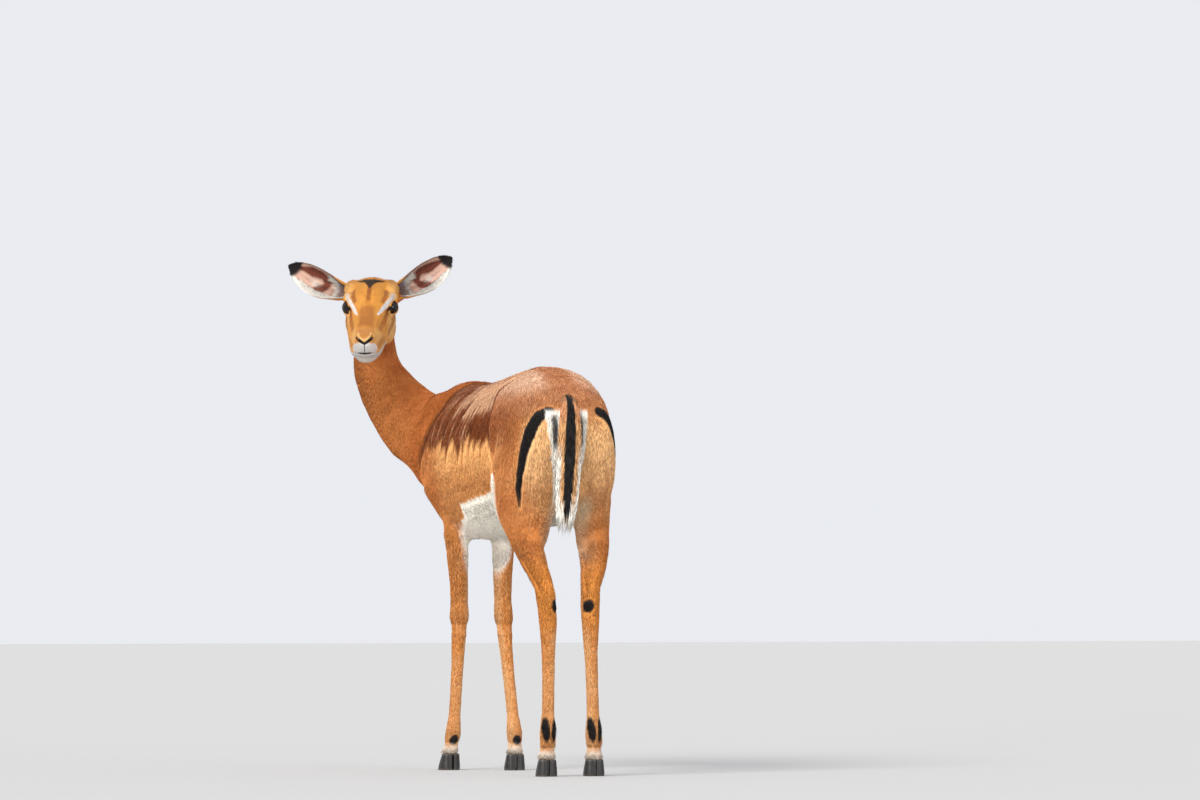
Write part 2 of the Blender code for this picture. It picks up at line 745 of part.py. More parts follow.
def add_claw(name, which, collection):
    """One claw of a cloven hoof: which is +1 for the one on the left, -1 right."""
    ankle, toes = foot_of(name)
    left = Vector((0, 0, 1)).cross(toes)
    turned = Matrix.Rotation(CLAW_SPLAY * which, 3, "Z")
    along, across = turned @ toes, turned @ left * which
    heel = Vector((ankle.x, ankle.y, 0)) - toes * 0.021
    levels = []
    for height, drawn_back, drawn_in in CLAW_LEVELS:
        length = CLAW_LENGTH - drawn_back
        points = []
        for share, wide in CLAW_WALL:
            width = CLEFT / 2 + (CLAW_WIDTH - drawn_in) * wide
            points.append(heel + along * (share * length) + across * width)
        points.append(heel + along * (0.96 * length) + across * (CLEFT / 2))
        points.append(heel + along * (0.50 * length) + across * (CLEFT / 2))
        points.append(heel + along * 0.002 + across * (CLEFT / 2))
        levels.append([p + Vector((0, 0, height)) for p in points])
    mesh = bmesh.new()
    loft(mesh, levels)
    side = "left" if which > 0 else "right"
    object_from("claw_" + name + "_" + side, mesh, collection)


def stand_at_origin(objects):
    """Puts the middle of the animal's bounds over the origin."""
    corners = [v.co for obj in objects for v in obj.data.vertices]
    low = [min(c[i] for c in corners) for i in range(3)]
    high = [max(c[i] for c in corners) for i in range(3)]
    shift = Vector((-(low[0] + high[0]) / 2, -(low[1] + high[1]) / 2, -low[2]))
    for obj in objects:
        for vert in obj.data.vertices:
            vert.co += shift


def colour_parts(objects):
    """Gives every part a material of its own."""
    for obj in objects:
        kind = obj.name.split("_")[0]
        obj.data.materials.clear()
        obj.data.materials.append(material(obj.name, COLOURS.get(kind, COLOURS["coat"])))


def new_collection(name):
    made = bpy.data.collections.new(name)
    bpy.context.scene.collection.children.link(made)
    return made


def main():
    for obj in list(bpy.data.objects):
        bpy.data.objects.remove(obj)
    impala = new_collection("impala")
    cutters = new_collection("cutters")
    flesh = make_flesh(cutters)
    as_cutter(flesh)
    head, trunk = part_flesh(flesh, impala, cutters)
    add_tail(trunk, impala, cutters)
    for side in ("left", "right"):
        add_ear(side, head, impala, cutters)
        add_eye(side, head, impala, cutters)
    keep_largest(head)
    for name in LEGS:
        for which in (1, -1):
            add_claw(name, which, impala)
    parts = list(impala.objects)
    stand_at_origin(parts)
    colour_parts(parts)


if __name__ == "__main__":
    main()
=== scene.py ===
"""A life-size impala ewe looking back over its left shoulder: one skin with its folds
and markings, short fur in solid tufts, glossy eyes and horn claws around the frame."""

import math

import bmesh
import bpy
import numpy as np
from mathutils import Matrix, Vector
from mathutils.bvhtree import BVHTree


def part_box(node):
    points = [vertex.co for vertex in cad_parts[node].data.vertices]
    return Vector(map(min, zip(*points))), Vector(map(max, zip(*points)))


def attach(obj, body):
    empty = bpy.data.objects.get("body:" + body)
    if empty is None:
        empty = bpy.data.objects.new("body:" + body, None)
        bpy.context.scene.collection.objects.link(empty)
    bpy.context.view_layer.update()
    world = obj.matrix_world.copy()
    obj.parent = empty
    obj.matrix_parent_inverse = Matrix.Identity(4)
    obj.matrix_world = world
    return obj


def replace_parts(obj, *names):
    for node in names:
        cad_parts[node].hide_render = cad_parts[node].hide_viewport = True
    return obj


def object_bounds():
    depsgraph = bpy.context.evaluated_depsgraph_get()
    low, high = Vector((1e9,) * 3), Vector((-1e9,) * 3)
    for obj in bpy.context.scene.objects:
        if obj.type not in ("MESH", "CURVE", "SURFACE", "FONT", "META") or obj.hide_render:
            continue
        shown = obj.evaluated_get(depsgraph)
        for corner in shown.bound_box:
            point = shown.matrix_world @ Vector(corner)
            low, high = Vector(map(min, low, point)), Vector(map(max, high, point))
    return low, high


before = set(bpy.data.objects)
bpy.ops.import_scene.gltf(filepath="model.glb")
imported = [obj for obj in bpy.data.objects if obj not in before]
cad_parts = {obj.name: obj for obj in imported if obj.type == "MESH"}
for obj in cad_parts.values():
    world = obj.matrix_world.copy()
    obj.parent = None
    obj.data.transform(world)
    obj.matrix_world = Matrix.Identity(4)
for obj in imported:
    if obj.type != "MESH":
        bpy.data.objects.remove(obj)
CAD_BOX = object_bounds()

SIDES = ("left", "right")
SIGN = {"left": 1, "right": -1}
LEGS = ("front_left", "front_right", "hind_left", "hind_right")
UP = Vector((0, 0, 1))
TURN = 2 * math.pi

# Fur: hairs scattered on each region, length, width, how far a tuft stands off
# at its tip as a share of its length, and how deep the skin lies under the coat.
COAT = {
    "trunk": dict(count=80000, length=0.018, width=0.00125, lift=0.062, depth=0.003),
    "neck": dict(count=35000, length=0.015, width=0.001, lift=0.065, depth=0.003),
    "head": dict(count=48000, length=0.0062, width=0.00062, lift=0.065, depth=0.001),
    "legs": dict(count=39500, length=0.0125, width=0.00115, lift=0.065, depth=0.0012),
}
PIECE_LIMIT = 32000  # tufts to a piece
SEAM = 0.0004  # how far each solid is swelled so that the thin cuts close
GRAIN = 0.004  # skin mesh before the head is refined


def middle(node):
    low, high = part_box(node)
    return (low + high) / 2


# --- where things are
EYES = {side: middle("eye_" + side) for side in SIDES}
EYE_AT = {side: np.array(EYES[side]) for side in SIDES}
EYE_MID = (EYES["left"] + EYES["right"]) / 2
EYE_RADIUS = (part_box("eye_left")[1].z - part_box("eye_left")[0].z) / 2
HEAD_PITCH = math.radians(26)
HEAD_REACH = 0.26  # nothing of the head is further from the eyes
# The body's own origin stands under the withers, this far from the eyes.
BODY_ORIGIN = EYE_MID - Vector((0.22, -0.38, 1.01))
ORIGIN = np.array(BODY_ORIGIN)
BEND_START_Y = 0.25
BEND_RADIUS = 2.9


def matrix_of(across, ahead, up, root):
    rows = [(across[k], ahead[k], up[k], root[k]) for k in range(3)]
    return Matrix((*rows, (0, 0, 0, 1)))


def head_frame():
    """X to the animal's left, Y to its nose, Z up, from midway between its eyes."""
    left = (EYES["left"] - EYES["right"]).normalized()
    level = left.cross(UP)
    forward = level * math.cos(HEAD_PITCH) - UP * math.sin(HEAD_PITCH)
    return matrix_of(left, forward, forward.cross(left), EYE_MID)


HEAD = head_frame()

EAR_ROOT = (0.044, -0.06, 0.004)  # side, forward, up from midway between the eyes
EAR_START = 0.01  # the hide starts this far out along the ear, inside its mound
EAR_LENGTH = {"left": 0.162, "right": 0.168}
EAR_RAISE = {"left": math.radians(33), "right": math.radians(25)}
EAR_SWEEP = -0.16
EAR_DROOP = 0.006
EAR_COAT = 0.0006
EAR_HIDE = 0.0019
EAR_SECTIONS = (  # share of its length, half width, half curl in degrees
    (0.00, 0.048, 150),
    (0.15, 0.0485, 122),
    (0.32, 0.0465, 93),
    (0.52, 0.043, 75),
    (0.72, 0.0335, 61),
    (0.88, 0.019, 49),
    (1.00, 0.004, 40),
)


def ear_frame(side):
    """The ear's frame: X across, Y the way its mouth looks, Z along it."""
    level = Vector((HEAD[0][0], HEAD[1][0], 0.0)).normalized() * SIGN[side]
    back = Vector((HEAD[0][1], HEAD[1][1], 0.0)).normalized()
    raised = EAR_RAISE[side]
    along = (level * math.cos(raised) + UP * math.sin(raised) + back * EAR_SWEEP).normalized()
    mouth = back - UP * 0.12 + level * 0.1
    mouth = (mouth - along * mouth.dot(along)).normalized()
    root = HEAD @ Vector((SIGN[side] * EAR_ROOT[0], EAR_ROOT[1], EAR_ROOT[2]))
    return matrix_of(mouth.cross(along), mouth, along, root)


EARS = {side: ear_frame(side) for side in SIDES}


def to_frame(points, matrix):
    inverse = np.array(matrix.inverted())
    return points @ inverse[:3, :3].T + inverse[:3, 3]


def from_frame(points, matrix):
    matrix = np.array(matrix)
    return points @ matrix[:3, :3].T + matrix[:3, 3]


def straight(points):
    """Side, along and height on the body as it would be with a straight spine."""
    x, y, z = (points - ORIGIN).T
    radius = np.hypot(x - BEND_RADIUS, y - BEND_START_Y)
    angle = np.arctan2(BEND_START_Y - y, BEND_RADIUS - x)
    ahead = y < BEND_START_Y
    side = np.where(ahead, BEND_RADIUS - radius, x)
    along = np.where(ahead, BEND_START_Y - BEND_RADIUS * angle, y)
    return np.stack((side, along, z), 1)


def bent(vectors, y):
    """Turns vectors on the straight body to the way its spine bends at y."""
    angle = np.where(y < BEND_START_Y, (BEND_START_Y - y) / BEND_RADIUS, 0)
    cos, sin = np.cos(angle), np.sin(angle)
    return np.stack((vectors[:, 0] * cos - vectors[:, 1] * sin,
                     vectors[:, 0] * sin + vectors[:, 1] * cos, vectors[:, 2]), 1)


def mirrored(points):
    """Both sides brought to the left one."""
    points = points.copy()
    points[:, 0] = np.abs(points[:, 0])
    return points


def on_head(points):
    """Side, ahead and up from midway between the eyes, both sides as the left one."""
    return mirrored(to_frame(points, HEAD))


# --- arithmetic
def ease(low, high, value):
    t = np.clip((value - low) / (high - low), 0, 1)
    return t * t * (3 - 2 * t)


def strip(value, centre, half, soft):
    """1 within half of the centre, falling to 0 over soft."""
    return 1 - ease(half, half + soft, np.abs(value - centre))


def bell(value, centre, size):
    return np.exp(-((value - centre) / size) ** 2)


def unit(vectors):
    return vectors / np.maximum(np.linalg.norm(vectors, axis=1, keepdims=True), 1e-9)


def along_skin(vectors, normals):
    """Unit vectors with what points off the skin taken away."""
    return unit(vectors - normals * np.sum(vectors * normals, axis=1, keepdims=True))


def noise(points, size, seed=0):
    """Smooth random values from -1 to 1 that change over about size metres."""
    p = points / size
    cell = np.floor(p).astype(np.int64)
    f = p - cell
    f = f * f * (3 - 2 * f)
    total = np.zeros(len(points))
    for corner in range(8):
        step = np.array([corner & 1, corner >> 1 & 1, corner >> 2 & 1])
        c = cell + step
        h = c[:, 0] * 73856093 ^ c[:, 1] * 19349663 ^ c[:, 2] * 83492791 ^ (seed + 7) * 2654435
        h = (h ^ (h >> 13)) * 1274126177
        h = (h ^ (h >> 16)) & 0xFFFF
        total += np.prod(np.where(step, f, 1 - f), axis=1) * (h / 32767.5 - 1)
    return total


def near_line(points, line):
    """Distance to a line through the points given, and the share along it."""
    line = np.array(line, float)
    lengths = np.linalg.norm(np.diff(line, axis=0), axis=1)
    starts = np.concatenate(([0], np.cumsum(lengths)))
    best = np.full(len(points), 1e9)
    share = np.zeros(len(points))
    for a, b, start, length in zip(line, line[1:], starts, lengths):
        t = np.clip((points - a) @ (b - a) / length**2, 0, 1)
        gap = np.linalg.norm(points - a - t[:, None] * (b - a), axis=1)
        closer = gap < best
        best = np.where(closer, gap, best)
        share = np.where(closer, (start + t * length) / starts[-1], share)
    return best, share


def gap_to(points, line):
    return near_line(points, line)[0]


def curve_through(rows, count):
    """Evenly spaced rows on a smooth curve through the rows given."""
    rows = np.array(rows, float)
    padded = np.vstack((2 * rows[0] - rows[1], rows, 2 * rows[-1] - rows[-2]))
    out = []
    for k in range(count):
        t = k / (count - 1) * (len(rows) - 1)
        i = min(int(t), len(rows) - 2)
        t -= i
        a, b, c, d = padded[i:i + 4]
        out.append(0.5 * (2 * b + (c - a) * t + (2 * a - 5 * b + 4 * c - d) * t * t
                          + (3 * b - a - 3 * c + d) * t**3))
    return np.array(out)


def read(items, key, width=3, kind=float):
    """The same property of every item, one row each."""
    values = np.zeros(len(items) * width, kind)
    items.foreach_get(key, values)
    return values.reshape(-1, width)


def vertices_of(mesh):
    return read(mesh.vertices, "co")


def move(mesh, points):
    mesh.vertices.foreach_set("co", points.ravel())
    mesh.update()


def mm(*rows):
    """Lengths given in millimetres."""
    return np.array(rows) / 1000


# --- parts of body
NECK_STEPS = 40
NECK_LINE = curve_through(mm(
    (194, -430, 1035), (186, -458, 1005), (179, -483, 940), (168, -480, 864), (126, -422, 776),
    (81, -323, 710), (48, -215, 690)), NECK_STEPS)
# A point of each cut on the body's frame, and the way across it.
HEAD_CUT = ((0.19, -0.46, 0.975), (0.2, 0.6, 0.77))
NECK_CUT = ((0.075, -0.335, 0.735), (0.3, -0.75, 0.55))


def beyond(points, cut):
    point, normal = np.array(cut[0]), np.array(cut[1])
    return (points - ORIGIN - point) @ (normal / np.linalg.norm(normal))


def around_head(points):
    return np.linalg.norm(points - np.array(EYE_MID), axis=1) < HEAD_REACH


def zones(points):
    """How much each point belongs to the head, the neck, the legs and the trunk."""
    head = ease(-0.012, 0.012, beyond(points, HEAD_CUT)) * around_head(points)
    neck = ease(-0.05, 0.05, beyond(points, NECK_CUT)) * (1 - head)
    legs = (1 - ease(0.47, 0.55, points[:, 2])) * ease(0.085, 0.062, leg_gaps(points).min(0))
    legs = legs * (1 - head) * (1 - neck)
    return {"head": head, "neck": neck, "legs": legs,
            "trunk": np.clip(1 - head - neck - legs, 0, 1)}


def leg_line(name, count=24):
    """The middle of a leg, top down, from slices through its solid."""
    corners = vertices_of(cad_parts["leg_" + name].data)
    line = []
    for z in np.linspace(0.46, 0.045, count):
        near = corners[np.abs(corners[:, 2] - z) < 0.016]
        if len(near) > 5:
            line.append(((near.min(0) + near.max(0)) / 2)[:2].tolist() + [z])
    return np.array(line)


LEG_LINES = {name: leg_line(name) for name in LEGS}


def from_leg(points, name):
    """How far each point is aside and behind the middle of a leg at its height."""
    line = LEG_LINES[name]
    return [points[:, k] - np.interp(-points[:, 2], -line[:, 2], line[:, k]) for k in (0, 1)]


def leg_gaps(points):
    """The distance to the middle of each leg, a row for a leg."""
    return np.array([np.hypot(*from_leg(points, name)) for name in LEGS])


# --- colour
def tone(red, green, blue):
    """A linear colour from its usual 0 to 255 values."""
    value = np.array((red, green, blue)) / 255
    return np.where(value < 0.04045, value / 12.92, ((value + 0.055) / 1.055) ** 2.4)


def plain(colour, count):
    return np.repeat(colour[None], count, 0)


def layer(colours, *coats):
    """The colours with each coat, a colour and its share at each place, laid over them."""
    for colour, share in coats:
        colours = colours + (colour - colours) * share[:, None]
    return colours


RUFOUS = tone(190, 107, 46)
NECK_PALE = tone(204, 130, 66)
SADDLE = tone(136, 69, 27)
SADDLE_STREAK = tone(236, 188, 148)
SPINE = tone(160, 86, 40)
RUMP = tone(199, 136, 94)
RUMP_PALE = tone(238, 200, 168)
HAUNCH = tone(210, 136, 74)
HAUNCH_DARK = tone(158, 86, 42)
HAUNCH_PALE = tone(248, 198, 138)
FLANK = tone(250, 190, 120)
BELLY = tone(248, 242, 228)
LEG = tone(206, 132, 66)
LEG_PALE = tone(224, 172, 118)
HOCK = tone(216, 138, 56)
PASTERN = tone(214, 204, 190)
BLACK = tone(24, 19, 18)
WHITE = tone(248, 243, 232)
CREAM = tone(238, 220, 186)
# Painted shade for the groove of the thigh's crease.
CREASE_SHADE = tone(98, 44, 16)

FACE = tone(220, 146, 54)
FACE_LIGHT = tone(238, 178, 88)
FACE_DARK = tone(150, 74, 24)
FACE_PALE = tone(228, 186, 118)
BRIDGE = tone(166, 92, 42)
NOSE = tone(208, 142, 74)
LIP_TAN = tone(196, 124, 54)
LIP_WHITE = tone(212, 207, 203)
MOUTH = tone(46, 30, 26)

# On the straight body, left side.
HAUNCH_STRIPE = mm(
    (56, 376, 766), (78, 364, 752), (89, 354.5, 725.9), (94.5, 344, 698.2), (97.5, 334.5, 670.4),
    (100.5, 321.5, 635.6), (103.5, 315, 604.1), (103, 318, 568))
HAUNCH_CREASE = mm(
    (30, 186, 857), (62, 176, 845), (84.5, 165.2, 825.6), (97.6, 158, 807.9), (103.1, 150, 786.9),
    (108.3, 147.5, 762.1), (114.4, 148.6, 740.8), (117.5, 149, 716), (117.5, 151, 687.8),
    (115, 160, 640), (105, 175, 600))
SHOULDER_LINE = mm(
    (30, -165, 838), (58, -169, 824), (90, -172, 790), (99, -225, 745), (94, -275, 703),
    (84, -309, 662))
# Edges on the side of the body: for each one two rows, of places and of where it lies.
SHOULDER_Z = mm(620, 662, 703, 745, 790, 860)
SHOULDER_Y = mm(-330, -309, -275, -225, -172, -160)
CREASE_Z = mm(550, 600, 640, 690, 735, 778, 808, 826, 845, 900)
CREASE_Y = mm(185, 175, 160, 151, 149, 149, 158, 165, 176, 190)
BELLY_EDGE_Y = mm(-360, -200, -100, -56, -36, 45, 112, 132, 150, 190, 260, 400)
BELLY_EDGE_Z = mm(545, 535, 535, 548, 574, 587, 599, 622, 636, 640, 580, 500)
SEAT_Z = mm(560, 630, 670, 720, 765)
SEAT_LEFT = mm(43, 50, 55, 60, 64)
SEAT_RIGHT = mm(-12, -14, -17, -22, -26)
TAIL_ASIDE = 0.019  # the tail hangs this far from the middle plane


def strands(s, y, z, size, seed):
    """Streaks down the flank, a little forward as they fall."""
    place = np.stack((y - 0.42 * np.maximum(z - 0.7, 0) + 0.3 * np.maximum(0.7 - z, 0),
                      z * 0.075, s * 0.05), 1)
    return noise(place, size, seed)


def flank_and_saddle(s, y, z, hair, broad):
    """The pale flank under the dark, streaked saddle, behind the shoulder line."""
    flank = layer(plain(FLANK, len(s)),
                  (HAUNCH, np.clip(0.12 + 0.5 * hair, 0, 0.8)),
                  (HAUNCH_DARK, np.clip(0.8 * hair - 0.38, 0, 0.5)),
                  (HAUNCH, 0.7 * ease(0.672, 0.615, z)),
                  (RUFOUS, 0.75 * (1 - ease(-0.24, -0.06, y))))
    high = 0.95 * ease(0.74, 0.8, z) * ease(-0.14, 0.05, y)
    lit = ease(0.16 - high, 0.8 - high, hair + 0.25 * broad) * ease(0.69, 0.73, z)
    lit = lit * (1 - ease(0.78, 0.75, z) * ease(0.06, 0.11, y))
    saddle = layer(plain(SADDLE, len(s)),
                   (BLACK, 0.35 * ease(0.1, -0.6, hair)),
                   (SADDLE_STREAK, lit * (0.5 + 0.35 * ease(-0.16, 0.02, y))),
                   (SPINE, 0.8 * ease(0.818, 0.846, z + 0.01 * hair)
                    * ease(0.036, 0.014, np.abs(s))))
    edge = 0.697 + 0.01 * noise(np.stack((y, y * 0, y * 0), 1), 0.03, 3)
    return layer(flank, (saddle, ease(-0.014, 0.016, z - edge + 0.02 * hair)))


def haunch_and_rump(s, y, z, hair, fine, broad):
    """The haunch behind the thigh's crease, pale at the rear, greyer on the rump."""
    pale = ease(0.016, 0.04, np.abs(s - 0.012)) * ease(0.785, 0.825, z) * ease(0.37, 0.28, y)
    rear = ease(0.305, 0.355, y) * ease(0.785, 0.71, z) * (0.35 + 0.65 * ease(0.57, 0.65, z))
    return layer(plain(HAUNCH, len(s)),
                 (HAUNCH_DARK, 0.8 * strip(z, 0.735, 0.025, 0.045) * ease(0.35, 0.25, y)),
                 (RUMP, 0.9 * ease(0.745, 0.8, z + 0.02 * broad)),
                 (RUMP_PALE, 0.85 * pale),
                 (HAUNCH_PALE, 0.95 * rear),
                 # painted shade: a darker band along the haunch's lower edge
                 (RUFOUS, 0.75 * strip(z, 0.535, 0.02, 0.06) * ease(0.34, 0.28, y)),
                 (HAUNCH_PALE, np.clip(0.45 * hair * ease(0.76, 0.68, z), 0, 0.6)),
                 (HAUNCH_DARK, np.clip(0.8 * fine * ease(0.7, 0.76, z), 0, 0.35)),
                 (HAUNCH_DARK, np.clip(-0.5 * hair, 0, 0.5)))


def crease_shade_share(points):
    """Painted shade in the groove of the thigh's crease, wide in the middle and gone at its ends."""
    gap, share = near_line(points, HAUNCH_CREASE)
    wide = np.interp(share, (0, 0.08, 0.22, 0.6, 0.9), (0.0004, 0.002, 0.0052, 0.0046, 0.0016))
    return (1 - ease(0.8, 1.9, gap / wide)) * ease(0, 0.22, share) * (1 - ease(0.7, 0.95, share))


def belly_share(s, y, z, fine):
    """White under the belly with a sharp edge, kept off the elbow and the thigh."""
    edge = np.interp(y, BELLY_EDGE_Y, BELLY_EDGE_Z) + 0.0035 * fine
    elbow = ease(0.046, 0.06, np.abs(s)) * ease(-0.12, -0.16, y)
    under = ease(0.002, -0.003, z - edge) * ease(-0.31, -0.27, y) * (y < 0.3) * (1 - elbow)
    return under * (1 - ease(0.19, 0.23, y) * ease(0.085, 0.11, np.abs(s)))


def seat_markings(colours, points, s, y, z, fine):
    """A black stripe down each buttock, white beside the tail, and black painted as the shadow in the
    gap between tail and buttock.
    """
    gap, share = near_line(points, HAUNCH_STRIPE)
    half = np.interp(share, (0, 0.15, 0.3, 0.55, 0.72, 0.86, 1.0),
                     (0.011, 0.016, 0.0205, 0.0185, 0.014, 0.0085, 0.0035))
    left, right = (np.interp(z, SEAT_Z, edge) for edge in (SEAT_LEFT, SEAT_RIGHT))
    seat = (ease(0.002, -0.002, s - left + 0.002 * fine) * ease(-0.002, 0.002, s - right)
            * ease(0.345, 0.36, y) * ease(0.772, 0.76, z) * ease(0.545, 0.585, z))
    # painted shadow: black in the gap between the tail and each buttock
    beside = (strip(np.abs(s - TAIL_ASIDE), 0.027, 0.004, 0.003) * ease(0.345, 0.36, y)
              * ease(0.762, 0.75, z) * ease(0.672, 0.7, z))
    inside = ease(0.25, 0.28, y) * ease(0.052, 0.036, np.abs(s)) * ease(0.6, 0.55, z)
    return layer(colours, (BLACK, ease(0.0022, -0.0012, gap - half - 0.0012 * fine)),
                 (WHITE, seat), (BLACK, 0.9 * beside), (CREAM, inside * 0.8))


def body_markings(points):
    p = straight(points)
    s, y, z = p.T
    fine, broad = noise(points, 0.006, 1), noise(points, 0.035, 2)
    hair = strands(s, y, z, 0.0042, 4) * 0.6 + strands(s, y, z, 0.0105, 5) * 0.55
    behind = y - np.interp(z, SHOULDER_Z, SHOULDER_Y)
    shadow = strip(behind, -0.004, 0.005, 0.014) * ease(0.64, 0.7, z) * ease(0.86, 0.82, z)
    rear = ease(-0.006, 0.006, y - np.interp(z, CREASE_Z, CREASE_Y)) * ease(0.52, 0.56, z)
    flank = flank_and_saddle(s, y, z, hair, broad)
    haunch = haunch_and_rump(s, y, z, hair, fine, broad)
    colours = layer(plain(RUFOUS, len(points)),
                    (flank, ease(-0.012, 0.012, behind + 0.006 * fine)),
                    (SADDLE * 0.5, shadow * (0.8 + 0.2 * fine)),
                    (haunch, rear),
                    # painted shade in the thigh's crease
                    (CREASE_SHADE, 0.92 * crease_shade_share(mirrored(p))),
                    (BELLY, belly_share(s, y, z, fine)))
    return seat_markings(colours, mirrored(p), s, y, z, fine)


def hind_markings(tint, z, dx, dy, inward, fine):
    """Pale inside, the hock's gold and its spot, and the black glands over the fetlock."""
    spot = np.hypot((inward - 0.01) / 0.0095, (z - 0.357) / 0.014)
    tint = layer(tint,
                 (CREAM, 0.85 * ease(0.016, 0.034, inward + 0.003 * fine) * ease(0.4, 0.47, z)),
                 # painted shade: a darker band at the top of the leg, under the haunch
                 (RUFOUS, 0.45 * strip(z, 0.47, 0.06, 0.06)),
                 (HOCK, 0.8 * strip(z, 0.375, 0.04, 0.06) * ease(-0.008, 0.01, dy)),
                 (BLACK, ease(1.15, 0.85, spot) * ease(0.001, 0.006, dy)))
    for sign in (1, -1):
        across = (dx - sign * np.interp(z, (0.07, 0.12), (0.0065, 0.0105))) / 0.0072
        gland = np.hypot(across, (z - 0.098) / 0.027)
        tint = layer(tint, (BLACK, ease(1.15, 0.8, gland) * ease(-0.002, 0.004, dy)))
    return tint


def fore_markings(tint, z, dx, dy, inward, fine):
    """White inside the upper leg, a shaded knee and a spot behind the pastern."""
    inner = ease(-0.006, 0.012, inward + 0.35 * dy + 0.003 * fine
                 - np.interp(z, (0.4, 0.52, 0.56), (0.022, 0.003, 0.035))) * ease(0.39, 0.44, z)
    spot = np.hypot(dx / 0.01, (z - 0.066) / 0.0115)
    return layer(tint, (WHITE, 0.9 * inner), (BLACK, ease(1.2, 0.8, spot) * ease(0.002, 0.007, dy)),
                 (LEG * 0.72, 0.5 * strip(z, 0.345, 0.02, 0.03) * ease(-0.004, -0.014, dy)))


def leg_markings(points):
    z = points[:, 2]
    fine = noise(points, 0.004, 11)
    streak = noise(points * (1, 1, 0.1), 0.0026, 12)
    base = layer(plain(LEG, len(points)), (LEG * 0.72, np.clip(0.6 * streak, 0, 0.5)),
                 (LEG_PALE, np.clip(-0.6 * streak, 0, 0.5)))
    colours = base
    for name in LEGS:
        dx, dy = from_leg(points, name)
        mine = np.hypot(dx, dy) < np.where(z > 0.38, 0.085, 0.045)
        inward = -SIGN[name.split("_")[1]] * dx
        reach = np.interp(z, (0.05, 0.3, 0.45, 0.52), (0.007, 0.008, 0.012, 0.012))
        tint = layer(base, (LEG_PALE, 0.65 * ease(reach * 0.3, reach * 1.3, inward + 0.002 * fine)),
                     (LEG_PALE, 0.3 * strip(z, 0.13, 0.05, 0.1)))
        own = hind_markings if name.startswith("hind") else fore_markings
        tint = layer(own(tint, z, dx, dy, inward, fine),
                     (PASTERN, 0.85 * ease(0.062, 0.044, z + 0.004 * fine)))
        colours = np.where(mine[:, None], tint, colours)
    return colours


def along_neck(points):
    """Share down the neck, and the way from its middle to each point."""
    design = points - ORIGIN
    share = near_line(design, NECK_LINE)[1]
    step = np.clip((share * (NECK_STEPS - 1)).astype(int), 0, NECK_STEPS - 1)
    return share, design - NECK_LINE[step]


def neck_markings(points):
    broad = noise(points, 0.03, 22)
    share, out = along_neck(points)
    out = unit(out)
    place = np.stack((out[:, 0] * 0.05, out[:, 1] * 0.05, out[:, 2] * 0.05 + share * 0.018), 1)
    streak = noise(place, 0.003, 23) * 0.6 + noise(place, 0.0075, 24) * 0.5
    throat = out @ unit(np.array([(0.55, 0.55, -0.62)]))[0]
    return layer(plain(RUFOUS, len(points)),
                 (NECK_PALE, np.clip(0.2 + 0.25 * broad + 0.45 * streak, 0, 0.8)),
                 (HAUNCH_DARK, np.clip(-0.6 * streak - 0.08, 0, 0.4)),
                 (SPINE, 0.35 * ease(0.35, 0.8, -throat)),
                 (NECK_PALE, 0.45 * ease(0.55, 0.95, throat)),
                 (WHITE, 0.9 * ease(0.55, 0.9, throat) * (1 - ease(0.06, 0.16, share))))


# In the head's frame, left side.
NOSTRIL = mm((19, 138.5, 1), (19, 144, -2.8), (15.8, 151, -6.8), (10.5, 153.8, -10.6))
NOSTRIL_V = np.vstack((NOSTRIL, mm((4.6, 155, -14.8), (0, 155.8, -17.6))))
# The ridge over the nostrils, raised in the relief; its pale colour is a painted highlight.
NOSE_RIM = mm((14.8, 140, 2), (13.8, 148, -2), (7.5, 153.2, -7.6), (0, 153, -10.4))
PHILTRUM = mm((0, 155.8, -17.6), (0, 157, -26), (0, 156.8, -34), (0, 156, -40.8))
MOUTH_LINE = mm(
    (0, 156.2, -41), (12, 155, -40.2), (22, 150, -40.8), (30, 140.5, -42.8), (34.5, 125, -40),
    (36.5, 106, -36))
EYE_STRIPE = mm(
    (49, -12, 22.5), (46.2, -4.5, 22), (40.5, 10, 18.2), (36, 22, 15), (29, 50.3, 14.7),
    (23.6, 66.8, 13))
CHEEK_STRIPE = mm((41, 27, 4), (39, 41.3, 0.5), (36.3, 65, -6), (30, 97.4, -9.1))
CHEEK_SHADE = mm((51, 10, -18), (49.4, 37.5, -26), (44, 64, -33))
BROW_PATCH = mm((37, -14, 33), (35.7, 4.9, 27.5), (31, 23, 25))
TEAR_DUCT = mm((44, 16.5, 6), (42, 23.5, 5.5), (40.2, 29.5, 4.5))


def head_markings(points):
    p = on_head(points)
    fine = noise(points, 0.0022, 31)
    light = np.clip(0.5 + 0.5 * noise(points, 0.009, 32), 0, 1) * 0.5
    colours = layer(plain(FACE, len(points)), (FACE_LIGHT, light))
    colours = crown_and_bridge(colours, p, fine)
    colours = stripes_and_cheeks(colours, p, fine)
    colours = lips_and_chin(colours, p, fine)
    return bare_darks(colours, points, p, fine)


